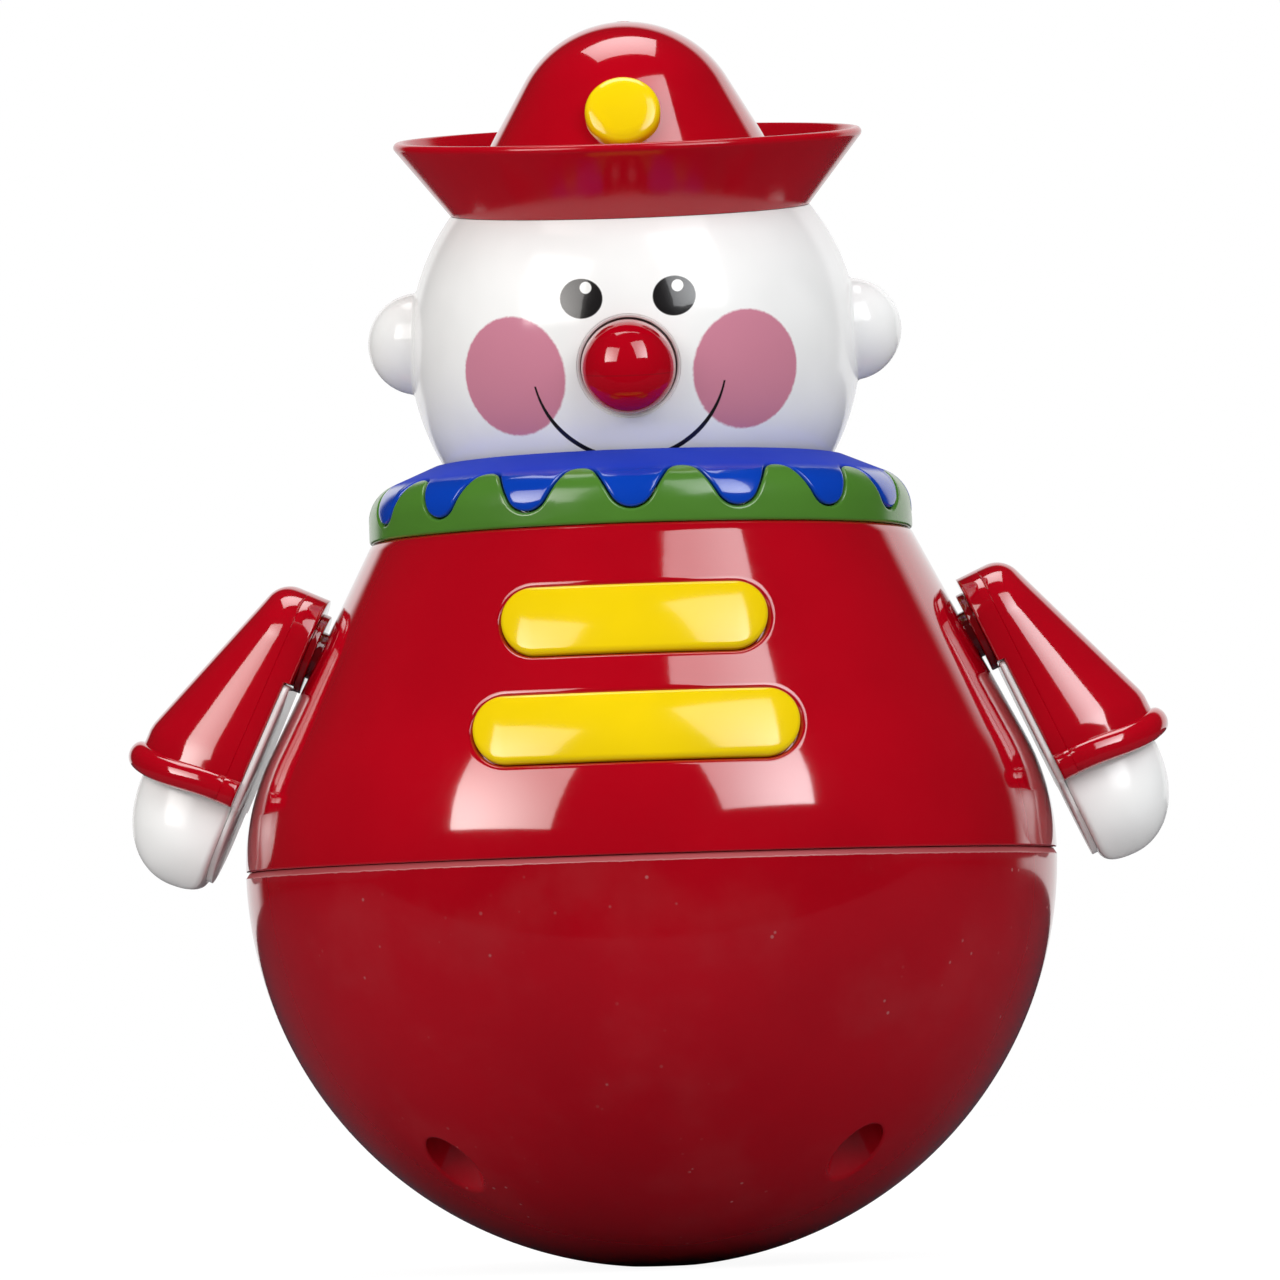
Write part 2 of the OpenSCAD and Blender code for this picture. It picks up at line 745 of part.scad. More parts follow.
module head_front() {
    color(WHITE) difference() {
        union() {
            head_half(false);
            intersection() {
                on_nose() {
                    translate([0, 0, dish_out]) sphere(dish_r + head_wall);
                    translate([0, 0, guide_bottom]) cylinder(r = spring_bore_r + head_wall, h = guide_h);
                }
                in_head() sphere(head_r - head_wall / 2);
            }
        }
        on_nose() {
            translate([0, 0, dish_out]) sphere(dish_r);
            translate([0, 0, guide_bottom - eps]) cylinder(r = stem_r + run_gap, h = far);
            translate([0, 0, spring_bottom]) cylinder(r = spring_bore_r, h = far);
        }
    }
}

module head_back() {
    color(WHITE) head_half(true);
}

// Neck
module neck_post() {
    color(WHITE) difference() {
        union() {
            translate([0, 0, neck_end]) cylinder(r = neck_r, h = flange_bottom - neck_end + eps);
            translate([0, 0, flange_bottom]) cylinder(r = neck_flange_r, h = neck_flange_t);
        }
        translate([0, 0, neck_end - eps]) cylinder(r = pilot_r, h = screw_len);
        around(screw_angles, neck_screw_circle) translate([0, 0, flange_bottom - eps])
            cylinder(r = small_screw_r + run_gap, h = 2 * neck_flange_t);
    }
}

module neck_screws() {
    color(STEEL) around(screw_angles, neck_screw_circle)
        translate([0, 0, flange_bottom + neck_flange_t]) mirror([0, 0, 1])
            screw(small_screw_r, 2 * small_screw_r, small_screw_r, neck_screw_len);
}

module neck_washer() {
    color(WHITE) translate([0, 0, neck_end - washer_t]) {
        ring(neck_washer_r, screw_hole_r, washer_t);
        translate([-stop_lug_w / 2, -stop_circle_r - stop_pin_r, 0])
            cube([stop_lug_w, stop_circle_r + stop_pin_r - neck_r, washer_t]);
    }
}

module neck_washer_screw() {
    color(STEEL) translate([0, 0, neck_end - washer_t])
        screw(screw_r, screw_head_r, screw_head_h, screw_len - washer_t);
}

// Nose
module nose() {
    stem_end = guide_bottom - move_gap - 2 * clip_t;
    color(RED) on_nose() {
        translate([0, 0, nose_out]) sphere(nose_r);
        translate([0, 0, stem_end]) cylinder(r = stem_r, h = nose_out - stem_end);
    }
}

module nose_clip() {
    color(STEEL) on_nose() translate([0, 0, guide_bottom - move_gap - clip_t])
        ring(spring_bore_r + washer_over, stem_r + run_gap, clip_t);
}

function wire_ring(a, rise) =
    [for (k = [0 : 5])
        let (r = spring_r + spring_wire / 2 * cos(60 * k))
        [r * cos(a), r * sin(a), spring_bottom + spring_wire / 2 + rise + spring_wire / 2 * sin(60 * k)]];

module nose_spring() {
    steps = spring_steps * spring_turns;
    height = spring_top - spring_bottom - spring_wire;
    color(STEEL) on_nose()
        loft([for (i = [0 : steps]) wire_ring(360 * i / spring_steps, height * i / steps)]);
}

// Hat
module crown_profile(inset, bottom) {
    r = crown_r - inset;
    touch_a = crown_a + r * sin(crown_deg);
    intersection() {
        translate([0, crown_a]) circle(r);
        translate([0, touch_a]) square([r, r]);
    }
    polygon([
        [0, bottom], [crown_cone_r(bottom, inset), bottom],
        [r * cos(crown_deg), touch_a], [0, touch_a]]);
}

module brim_profile() {
    along = [sin(rim_slope), cos(rim_slope)];
    inward = [-cos(rim_slope), sin(rim_slope)];
    low = [hat_seat_r, hat_seat];
    tip = low + along * (rim_h / cos(rim_slope) - rim_t / 2);
    low_in = low + inward * rim_t;
    floor_in = low_in + along * ((trough_a - low_in[1]) / cos(rim_slope));
    polygon([[0, hat_seat], low, tip, tip + inward * rim_t, floor_in, [0, trough_a]]);
    translate(tip + inward * rim_t / 2) circle(rim_t / 2);
}

module hat() {
    ceiling = trough_a - hat_wall;
    color(RED) difference() {
        in_head() revolve() difference() {
            union() {
                crown_profile(0, trough_a);
                brim_profile();
                translate([0, hat_seat - spigot_h]) square([spigot_r, spigot_h + eps]);
            }
            crown_profile(hat_wall, ceiling);
            translate([0, hat_seat - far]) square([spigot_r - spigot_t, far + ceiling - hat_seat]);
        }
        on_badge() {
            translate([0, 0, -badge_depth]) cylinder(r = badge_r + seat_gap, h = badge_t);
            translate([0, 0, -2 * badge_peg_len])
                cylinder(r = badge_peg_r + seat_gap, h = 2 * badge_peg_len);
        }
    }
}

module on_badge() {
    in_head() translate([0, -crown_cone_r(badge_a, 0), badge_a])
        rotate([90 - crown_deg, 0, 0]) children();
}

module hat_badge() {
    color(YELLOW) on_badge() {
        translate([0, 0, -badge_depth]) revolve() {
            square([badge_r, badge_t - badge_round]);
            square([badge_r - badge_round, badge_t]);
            translate([badge_r - badge_round, badge_t - badge_round]) circle(badge_round);
        }
        translate([0, 0, -badge_peg_len]) cylinder(r = badge_peg_r, h = badge_peg_len);
    }
}

// Arms
module on_arm(turn) {
    rotate([0, 0, turn]) translate([arm_x, 0, arm_z]) rotate([0, 90 - arm_lean, 0]) children();
}

// Half of a rounded section with a flat back, mirrored about the middle
function d_ring(t, w, s0, s1, s2, steps) = concat(
    [for (k = [0 : steps]) let (a = 90 * k / steps) [t, w * sin(a), s1 + (s2 - s1) * cos(a)]],
    [[t, w, s0], [t, -w, s0]],
    [for (k = [steps : -1 : 1]) let (a = 90 * k / steps) [t, -w * sin(a), s1 + (s2 - s1) * cos(a)]]);

function flare_thick(t) = sleeve_thick + t * tan(sleeve_flare_deg);
round_t = shoulder_round - sleeve_top_r;
round_s = flare_thick(round_t) - shoulder_round / cos(sleeve_flare_deg);
round_end = round_t - shoulder_round * sin(sleeve_flare_deg);
function sleeve_out(t) =
    t < round_end ? round_s + sqrt(pow(shoulder_round, 2) - pow(t - round_t, 2))
    : flare_thick(min(t, flare_len));
function sleeve_half_w(t) =
    t < 0 ? sqrt(pow(sleeve_top_r, 2) - t * t)
    : sleeve_top_r + (cuff_half_w - sleeve_top_r) * min(t / flare_len, 1);
function bead(t) =
    abs(t - bead_t) < bead_r ? bead_h * sqrt(1 - pow((t - bead_t) / bead_r, 2)) : 0;
function sleeve_ring(t, steps, inset, s0) =
    d_ring(t, sleeve_half_w(t) + bead(t) - inset, s0, back_s + sleeve_side,
        back_s + sleeve_out(t) + bead(t) - inset, steps);

module sleeve(turn) {
    tops = [for (a = [84, 72, 60, 48, 34, 18]) -sleeve_top_r * sin(a)];
    flares = [0, flare_len / 2, flare_len, bead_t - bead_r];
    beads = [for (a = [160, 130, 100, 70, 40, 15]) bead_t + bead_r * cos(a)];
    color(RED) on_arm(turn) difference() {
        loft([for (t = concat(tops, flares, beads, [cuff_end])) sleeve_ring(t, arc_steps, 0, back_s)]);
        loft([for (t = [-hub_end_r - seat_gap, 0, flare_len, cuff_end + 1])
            cavity_ring(t, 0, back_s - plate_t)]);
    }
}

// Hollow of the sleeve, and the tang that fills its mouth with inset all round
function cavity_ring(t, inset, s0) =
    d_ring(t, sleeve_half_w(t) - sleeve_wall - inset, s0, back_s + sleeve_side,
        back_s + sleeve_out(t) - sleeve_wall - inset, coarse_steps);

module hand(turn) {
    steps = [0, 0.1, 0.3, 0.5, 0.66, 0.78, 0.88, 0.95, 0.99];
    color(WHITE) on_arm(turn) {
        loft([for (f = steps) hand_ring(f)]);
        loft([for (t = [cuff_end - tang_len, flare_len, cuff_end + 1])
            cavity_ring(t, seat_gap, back_s)]);
    }
}

// Section of the hand, a share f of the way from the cuff to its tip
function hand_ring(f) =
    let (round_w = sqrt(1 - pow(max(f - hand_taper, 0) / (1 - hand_taper), 3)),
        round_s = sqrt(1 - pow(max(f - hand_close, 0) / (1 - hand_close), 2)),
        belly = hand_belly * sin(180 * f),
        back = back_s + hand_curl * pow(f, 6))
    d_ring(cuff_end + hand_len * f, (hand_half_w - hand_belly + belly) * round_w,
        back, back + seat_gap + sleeve_side * round_s,
        back + 2 * seat_gap + (hand_thick + belly) * round_s, arc_steps);

module back_plate(turn) {
    shy = seat_gap * 2;
    hand_w = hand_half_w - 3 * shy;
    tip_x = hand_end - hand_w - hand_curl - hand_belly;
    color(WHITE) on_arm(turn) translate([0, 0, plate_s]) difference() {
        linear_extrude(plate_t) {
            circle(sleeve_top_r - shy);
            polygon([
                [0, shy - sleeve_top_r], [flare_len, shy - cuff_half_w], [cuff_end, shy - cuff_half_w],
                [cuff_end, cuff_half_w - shy], [flare_len, cuff_half_w - shy], [0, sleeve_top_r - shy]]);
            translate([flare_len, -hand_w]) square([tip_x - flare_len, 2 * hand_w]);
            translate([tip_x, 0]) circle(hand_w);
        }
        translate([0, 0, -eps]) cylinder(r = hub_end_r + seat_gap, h = 2 * plate_t);
    }
}

module arm_shaft(turn) {
    color(RED) on_arm(turn) difference() {
        union() {
            translate([0, 0, shaft_end]) cylinder(r = shaft_r, h = hub_gap - shaft_end + eps);
            translate([0, 0, hub_gap]) cylinder(r = hub_r, h = hub_t);
            translate([0, 0, plate_s - eps]) cylinder(r = hub_end_r, h = 2 * plate_t + eps);
        }
        translate([0, 0, shaft_end - eps]) cylinder(r = small_screw_r + run_gap, h = small_screw_len);
    }
}

module arm_washer(turn) {
    color(WHITE) on_arm(turn) translate([0, 0, shaft_end - washer_t])
        ring(shaft_r + bearing_wall + washer_over, small_screw_r + seat_gap, washer_t);
}

module arm_screw(turn) {
    color(STEEL) on_arm(turn) translate([0, 0, shaft_end - washer_t])
        screw(small_screw_r, 2 * small_screw_r, small_screw_r, small_screw_len - washer_t);
}

module left_sleeve() { sleeve(0); }
module left_hand() { hand(0); }
module left_back_plate() { back_plate(0); }
module left_arm_shaft() { arm_shaft(0); }
module left_arm_washer() { arm_washer(0); }
module left_arm_screw() { arm_screw(0); }
module right_sleeve() { sleeve(180); }
module right_hand() { hand(180); }
module right_back_plate() { back_plate(180); }
module right_arm_shaft() { arm_shaft(180); }
module right_arm_washer() { arm_washer(180); }
module right_arm_screw() { arm_screw(180); }

base_shell();
base_screws();
ballast_weight();
ballast_cover();
ballast_screw();
body_shell();
upper_chest_bar();
lower_chest_bar();
green_collar();
blue_collar();
head_front();
head_back();
neck_post();
neck_screws();
neck_washer();
neck_washer_screw();
nose();
nose_clip();
nose_spring();
hat();
hat_badge();
left_sleeve();
left_hand();
left_back_plate();
left_arm_shaft();
left_arm_washer();
left_arm_screw();
right_sleeve();
right_hand();
right_back_plate();
right_arm_shaft();
right_arm_washer();
right_arm_screw();
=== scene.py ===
# Roly poly clown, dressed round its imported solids
import math

import bmesh
import bpy
from mathutils import Matrix, Vector


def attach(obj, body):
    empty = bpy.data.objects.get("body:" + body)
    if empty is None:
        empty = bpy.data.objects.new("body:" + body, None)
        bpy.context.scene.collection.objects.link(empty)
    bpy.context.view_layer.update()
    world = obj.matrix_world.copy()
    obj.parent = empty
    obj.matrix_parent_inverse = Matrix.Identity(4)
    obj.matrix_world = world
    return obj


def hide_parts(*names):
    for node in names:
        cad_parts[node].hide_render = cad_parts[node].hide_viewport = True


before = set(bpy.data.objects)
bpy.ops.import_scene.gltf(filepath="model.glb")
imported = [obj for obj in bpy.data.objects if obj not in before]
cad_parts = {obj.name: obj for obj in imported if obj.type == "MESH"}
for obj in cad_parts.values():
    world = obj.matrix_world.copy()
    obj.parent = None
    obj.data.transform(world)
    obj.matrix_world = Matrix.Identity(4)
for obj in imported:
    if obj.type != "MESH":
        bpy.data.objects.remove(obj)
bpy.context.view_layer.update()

# All sizes below are in millimetres and degrees
MM = 0.001
TINY = 1e-6
ROUND = 288
FINE_ROUND = 96
SHARP_DEG = 42

# Base and body
BALL_R = 65.0
FOOT_R = 5.5
SEAM_Z = 64.7669
SEAM_GAP = 0.1
SEAM_ROUND = 0.3
CHAMFER_H = 0.95
CHAMFER_IN = 0.6
WALL = 2.6
CONE_WALL = 1.1 * WALL
LIP_T = 1.6
LIP_H = 2.4
WELL_R = 4.4
WELL_CIRCLE = 44.3
WELL_TOP = 53.35
WELL_ROUND = 0.6
POST_R = 6.8
POST_TOP = 55.7
POST_ROUND = 0.5
WELL_ANGLES = (45, 135, 225, 315)
WELL_DEG = 10
WELL_ROWS = 16
WELL_LOW, WELL_HIGH = 33, 54
POST_LOW, POST_HIGH = 31, 56
BLEND_X = 24.6
BLEND_R = BALL_R - BLEND_X
CONE_DEG = 27.1997
DECK_Z = 116.7669
DECK_R = 43.299
DECK_T = 2.6
NECK_BORE_R = 9.03
NECK_TUBE_R = 11.8
NECK_TUBE_Z = 107.77

# Chest bars
BAR_H = 10.3
BAR_PROUD = 1.35
BAR_PILLOW = 20.0
BAR_TILT = 4.0
BAR_EDGE = 0.7
BAR_SINK = 1.0
RECESS = 1.2
RECESS_GAP = 0.2
RECESS_ROUND = 0.85
WINDOW_HALF = 8.2
WINDOW_DEG = 31
WINDOW_ROWS = 16
UPPER_BAR = (41.4, 101.567)
LOWER_BAR = (50.5, 84.567)

# Collar
LOBES = 16
SHOULDER_R = 6.0
SHOULDER_X = 37.599
SHOULDER_Z = 120.367
LOBE_TILT = 38.0
SLOPE_TURN = 67.0
MOUTH_R = 32.3
HALF_PITCH = 8.2576
FLANK_DEG = 27.43
TIP_R = 3.4
TIP_DROP = 1.7
NOTCH_R = 3.1
NOTCH_RISE = 0.1
LOBE_GAP = 0.26
COLLAR_SKIN = 2.0
BLUE_EDGE = 0.45
GREEN_EDGE = 0.5
MOUTH_ROUND = 0.8
FOOT_ROUND = 0.5
FOOT_SKIN = 2.4

# Head, nose and hat
HEAD_Z = 147.4706
HEAD_R = 36.25
HEAD_TILT = 8.0
HEAD_LOW_DEG = -49.0
HAT_DEG = 37.4
HEAD_ROWS = 86
HEAD_COLUMNS = 240
HEAD_WINDOW = 16.5
HEAD_LINE = 0.12
HEAD_LINE_DEG = 0.3
EAR_OUT, EAR_UP, EAR_R = 34.7, 1.6, 8.2
EAR_FILLET = 0.8
NOSE_R = 7.44
NOSE_OUT = 37.0
NOSE_DEG = -1.2
DISH_R = 8.2
DISH_OUT = 34.0
LIP_OUT = 8.2
LIP_IN = 7.62
STEM_R = 2.6
STEM_END = 15.4
HAT_SEAT = 22.017
HAT_SEAT_R = 28.7975
RIM_SLOPE = 38.6
RIM_LEN = 14.59
RIM_T = 1.6
TROUGH = 27.617
CROWN_R = 18.85
CROWN_A = 33.36
CROWN_DEG = 30.5
BADGE_A = 38.217
BADGE_R = 6.0
BADGE_T = 3.0
BADGE_DEPTH = 1.2
BADGE_ROUND = 1.2
BADGE_CROWN = 0.3

# Arms
ARM_X, ARM_Z = 52.2926, 99.2669
ARM_LEAN = 24.5997
HUB_GAP = 0.6
HUB_T = 1.2
HUB_R = 6.7
HUB_END_R = 4.6
SHAFT_R = 4.0
PLATE_T = 1.0
BACK_S = HUB_GAP + HUB_T + PLATE_T
SLEEVE_TOP_R = 9.0
SLEEVE_THICK = 10.6
FLARE_DEG = 19.3
SHOULDER_ROUND = 4.5
SLEEVE_SIDE = 2.6
CUFF_HALF_W = 12.0
FLARE_LEN = 20.6
BEAD_T = 25.6
BEAD_R = 2.2
BEAD_H = 1.7
CUFF_END = 27.79
SLEEVE_WALL = 2.0
SLEEVE_EDGE = 0.5
CUFF_BOW = 0.75
BOW_START, BOW_RUN = 10, 12
PARTING = 0.09
HAND_LEN = 15.2
HAND_HALF_W = 10.4
HAND_THICK = 16.1
HAND_TIP = 5.5
HAND_TAPER = 0.3
HAND_BELLY = 0.8
HAND_TANG = 5.5
HAND_BACK_POWER, HAND_FRONT_POWER = 16, 2.3
PLATE_TOP = 6.0
PLATE_SHORT = 2.8


def cosd(a):
    return math.cos(math.radians(a))


def sind(a):
    return math.sin(math.radians(a))


def tand(a):
    return math.tan(math.radians(a))


def lerp(a, b, share):
    return a + (b - a) * share


def lerp_pair(a, b, share):
    return lerp(a[0], b[0], share), lerp(a[1], b[1], share)


def steps(first, last, count):
    """count + 1 numbers from first to last."""
    return [lerp(first, last, i / count) for i in range(count + 1)]


def quarter(r, count):
    """A rounded edge through a quarter turn, as pairs of r (1 - cos) and r (1 - sin)."""
    return [(r * (1 - cosd(a)), r * (1 - sind(a))) for a in steps(0, 90, count)]


def turn(angle, axis):
    return Matrix.Rotation(math.radians(angle), 4, axis)


HEAD = Matrix.Translation((0, 0, HEAD_Z)) @ turn(HEAD_TILT, "X")
NOSE = HEAD @ turn(90 - NOSE_DEG, "X")


def circle(r, z, columns=ROUND):
    return [(r * cosd(360 * i / columns), r * sind(360 * i / columns), z) for i in range(columns)]


class Skin:
    """Points and faces of a piece, added ring by ring in the frame of place."""

    def __init__(self, place=None):
        self.place = place or Matrix()
        self.points = []
        self.faces = []

    def ring(self, points):
        first = len(self.points)
        self.points.extend(Vector(p) for p in points)
        return list(range(first, len(self.points)))

    def join(self, a, b, closed=True):
        count = len(a)
        for i in range(count if closed else count - 1):
            k = (i + 1) % count
            corners = list(dict.fromkeys((a[i], a[k], b[k], b[i])))
            if len(corners) > 2:
                self.faces.append(corners)

    def rings(self, rows, last):
        """Joins rows of points to each other, and the first to a ring that is there."""
        for row in rows:
            ring = self.ring(row)
            self.join(last, ring)
            last = ring
        return last

    def tube(self, rows):
        """Joins rows of points and returns the first ring and the last."""
        first = self.ring(rows[0])
        return first, self.rings(rows[1:], first)

    def at(self, ring):
        return [self.points[i] for i in ring]

    def cap(self, ring, point):
        self.join(ring, self.ring([point]) * len(ring))

    def turned(self, path, columns=ROUND):
        """Turns a path of radius and height about the Z axis."""
        last = None
        for r, z in path:
            ring = self.ring(circle(r, z, columns) if r > TINY else [(0, 0, z)])
            if r < TINY:
                ring *= columns
            if last:
                self.join(last, ring)
            last = ring

    def panel(self, rows, windows):
        """Joins rows, but for windows of (row, row, column, column), and returns their edges."""
        columns = len(rows[0])

        def is_open(i, j):
            return any(i0 <= i < i1 and (j - j0) % columns < j1 - j0 for i0, i1, j0, j1 in windows)

        for i, (a, b) in enumerate(zip(rows, rows[1:])):
            for j in range(columns):
                if not is_open(i, j):
                    k = (j + 1) % columns
                    self.faces.append([a[j], a[k], b[k], b[j]])
        edges = []
        for i0, i1, j0, j1 in windows:
            span = [j % columns for j in range(j0, j1 + 1)]
            edges.append([rows[i0][j] for j in span]
                         + [rows[i][span[-1]] for i in range(i0 + 1, i1)]
                         + [rows[i1][j] for j in reversed(span)]
                         + [rows[i][span[0]] for i in range(i1 - 1, i0, -1)])
        return edges


def arc(start, end, count):
    """Arms of one length that swing from start to end."""
    a, b = start.normalized(), end.normalized()
    return [a.slerp(b, s) * start.length for s in steps(0, 1, count)]


def soft(corners, count=5):
    """A path through corners (r, z, rounding), with each rounded corner as an arc."""
    path = []
    for i, (r, z, rounding) in enumerate(corners):
        here = Vector((r, z))
        if rounding < TINY or i in (0, len(corners) - 1):
            path.append((r, z))
            continue
        back = (Vector(corners[i - 1][:2]) - here).normalized()
        ahead = (Vector(corners[i + 1][:2]) - here).normalized()
        half = back.angle(ahead) / 2
        centre = here + (back + ahead).normalized() * rounding / math.sin(half)
        start = here + back * rounding / math.tan(half) - centre
        end = here + ahead * rounding / math.tan(half) - centre
        path.extend(tuple(centre + arm) for arm in arc(start, end, count))
    return path


def spaced(path, gap):
    """The path with points added so that none are further apart than gap."""
    full = [path[0]]
    for a, b in zip(path, path[1:]):
        parts = max(1, math.ceil(math.dist(a, b) / gap))
        full.extend(lerp_pair(a, b, k / parts) for k in range(1, parts + 1))
    return full


def stretched(count):
    """Shares up to 1 that close up towards it, for rings that run into a rounded edge."""
    return [1 - (1 - i / count) ** 1.6 for i in range(1, count + 1)]


def mesh_of(name, skin):
    mesh = bpy.data.meshes.new(name)
    mesh.from_pydata([skin.place @ p * MM for p in skin.points], [], skin.faces)
    return mesh


def clean(mesh):
    """Merges doubles, turns faces outwards and shades smoothly but for real corners."""
    shape = bmesh.new()
    shape.from_mesh(mesh)
    bmesh.ops.remove_doubles(shape, verts=shape.verts, dist=TINY)
    bmesh.ops.dissolve_degenerate(shape, edges=shape.edges, dist=TINY / 10)
    bmesh.ops.recalc_face_normals(shape, faces=shape.faces)
    shape.to_mesh(mesh)
    shape.free()
    mesh.shade_smooth()
    mesh.set_sharp_from_angle(angle=math.radians(SHARP_DEG))


def put(name, data):
    thing = bpy.data.objects.new(name, data)
    bpy.context.scene.collection.objects.link(thing)
    return thing


def show(name, shape, finish, body, slot, *nodes):
    """Makes a skin or a mesh a piece of the figure, on its body and in place of its solids."""
    mesh = mesh_of(name, shape) if isinstance(shape, Skin) else shape
    clean(mesh)
    mesh.materials.clear()
    mesh.materials.append(finish)
    piece = put(name, mesh)
    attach(piece, body)
    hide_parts(*nodes)


# Shader nodes
class Value:
    """A socket of a node tree, with sums and products that add Math nodes."""

    def __init__(self, nodes, socket):
        self.nodes = nodes
        self.socket = socket

    def math(self, operation, a, b=0.0):
        return self.nodes.add("ShaderNodeMath", {"Value": a, "Value_001": b}, operation=operation)

    def __add__(self, other):
        return self.math("ADD", self, other)

    __radd__ = __add__

    def __sub__(self, other):
        return self.math("SUBTRACT", self, other)

    def __rsub__(self, other):
        return self.math("SUBTRACT", other, self)

    def __mul__(self, other):
        return self.math("MULTIPLY", self, other)

    __rmul__ = __mul__

    def __truediv__(self, other):
        return self.math("DIVIDE", self, other)

    def __rtruediv__(self, other):
        return self.math("DIVIDE", other, self)

    def __pow__(self, other):
        return self.math("POWER", self, other)

    def __abs__(self):
        return self.math("ABSOLUTE", self)

    def smooth(self, low, high):
        """0 at low and 1 at high, with a soft change between; low may be the larger."""
        links = {"Value": self, "From Min": low, "From Max": high}
        return self.nodes.add("ShaderNodeMapRange", links, interpolation_type="SMOOTHSTEP")


class Nodes:
    """A node tree that is written as expressions."""

    def __init__(self, tree):
        self.tree = tree
        tree.nodes.clear()

    def add(self, kind, links=None, output=0, **settings):
        """Adds a node with its settings and its socket values or links, and returns one output."""
        node = self.tree.nodes.new(kind)
        for key, value in settings.items():
            setattr(node, key, value)
        for key, value in (links or {}).items():
            by_id = (s for s in node.inputs if s.identifier == key)
            socket = next(by_id, None) or node.inputs[key]
            if isinstance(value, Value):
                self.tree.links.new(value.socket, socket)
            else:
                socket.default_value = value
        return Value(self, node.outputs[output]) if node.outputs else None

    def parts(self, vector):
        """The three numbers of a vector."""
        split = self.add("ShaderNodeSeparateXYZ", {"Vector": vector})
        return [Value(self, s) for s in split.socket.node.outputs]

    def blend(self, share, a, b):
        """Colour a, turning into b as share goes to 1."""
        links = {"Factor_Float": share, "A_Color": a, "B_Color": b}
        node = self.add("ShaderNodeMix", links, data_type="RGBA").socket.node
        return Value(self, next(s for s in node.outputs if s.identifier == "Result_Color"))

    def noise(self, place, scale, detail):
        links = {"Vector": place, "Scale": scale, "Detail": detail}
        return self.add("ShaderNodeTexNoise", links)

    def rays(self, *kinds):
        """For each kind of ray, 1 where the shader is met by one."""
        paths = self.add("ShaderNodeLightPath").socket.node.outputs
        return [Value(self, paths[f"Is {kind} Ray"]) for kind in kinds]


def length(*values):
    """How far a place is from an origin, from its values along each axis."""
    return sum(value ** 2.0 for value in values) ** 0.5


def tone(colour, share):
    """A colour made lighter or darker."""
    return tuple(min(1.0, c * share) for c in colour[:3]) + (1.0,)


def srgb(r, g, b):
    """A colour from its 0 to 255 screen values."""
    shares = [c / 255 for c in (r, g, b)]
    return tuple(c / 12.92 if c < 0.0405 else ((c + 0.055) / 1.055) ** 2.4 for c in shares) + (1.0,)


HAZE_DUST = (0.55, 0.42, 0.42, 1.0)
SPECK_DUST = (0.62, 0.5, 0.5, 1.0)


def new_finish(name):
    """A material, its empty node tree and the object coordinates in it."""
    material = bpy.data.materials.new(name)
    material.use_nodes = True
    nodes = Nodes(material.node_tree)
    return material, nodes, nodes.add("ShaderNodeTexCoord", output="Object")


def moulded(name, colour, rough=0.08, gloss=0.9, coat=0.8, dust=0.0, pattern=None):
    """Gloss moulded plastic: cloudy colour, uneven polish, a faint ripple and, if asked, dust."""
    material, nodes, place = new_finish(name)
    cloud = nodes.noise(place, 34.0, 3.0)
    grain = nodes.noise(place, 420.0, 2.0)
    paint = nodes.blend(cloud.smooth(0.3, 0.7), tone(colour, 0.94), tone(colour, 1.05))
    polish = rough + (grain - 0.5) * 0.05 + (cloud - 0.5) * 0.04
    if dust:
        specks = nodes.add("ShaderNodeTexVoronoi", {"Vector": place, "Scale": 330.0})
        patches = nodes.noise(place, 60.0, 4.0)
        speck = specks.smooth(0.13, 0.05) * patches.smooth(0.5, 0.68)
        haze = patches.smooth(0.45, 0.75)
        paint = nodes.blend(haze * (0.03 * dust), paint, HAZE_DUST)
        paint = nodes.blend(speck * (0.3 * dust), paint, SPECK_DUST)
        polish = polish + haze * (0.03 * dust) + speck * 0.3
    if pattern:
        paint, polish, coat = pattern(nodes, place, paint, polish, coat)
    ripple = grain * 0.6 + cloud * 0.4
    bump = nodes.add("ShaderNodeBump", {"Strength": 0.03, "Distance": 0.0003, "Height": ripple})
    shader = nodes.add("ShaderNodeBsdfPrincipled", {
        "Base Color": paint, "Roughness": polish, "Normal": bump, "IOR": 1.5,
        "Specular IOR Level": gloss, "Coat Weight": coat, "Coat Roughness": 0.03})
    nodes.add("ShaderNodeOutputMaterial", {"Surface": shader})
    return material


def metal(name, colour, rough, worn):
    """Plain metal with fine marks and dull spots."""
    material, nodes, place = new_finish(name)
    spots = nodes.noise(place, 160.0, 4.0).smooth(0.45, 0.7)
    marks = nodes.noise(place, 1500.0, 2.0)
    paint = nodes.blend(spots, colour, worn)
    bump = nodes.add("ShaderNodeBump", {"Strength": 0.15, "Distance": 0.0002, "Height": marks})
    polish = rough + spots * 0.25 + (marks - 0.5) * 0.1
    shader = nodes.add("ShaderNodeBsdfPrincipled", {
        "Base Color": paint, "Roughness": polish, "Normal": bump, "Metallic": 1.0})
    nodes.add("ShaderNodeOutputMaterial", {"Surface": shader})
    return material


# Face print, in the head's own frame
EYE_X, EYE_Z, EYE_SHIFT = 7.3, 9.94, 0.19
EYE_HALF = (3.37, 3.09)
GLINTS = ((-6.38, 11.62), (8.04, 11.5))
GLINT_R = 0.92
GLINT_WHITE = (0.86, 0.86, 0.84, 1.0)
CHEEK_AZ, CHEEK_LAT, CHEEK_R = 31.2, -3.5, 9.5
SMILE_R, SMILE_Z = 15.29, -0.24
SMILE_TOP = -3.68
EYE_BLACK = srgb(28, 26, 27)
CHEEK_PINK = srgb(204, 122, 146)

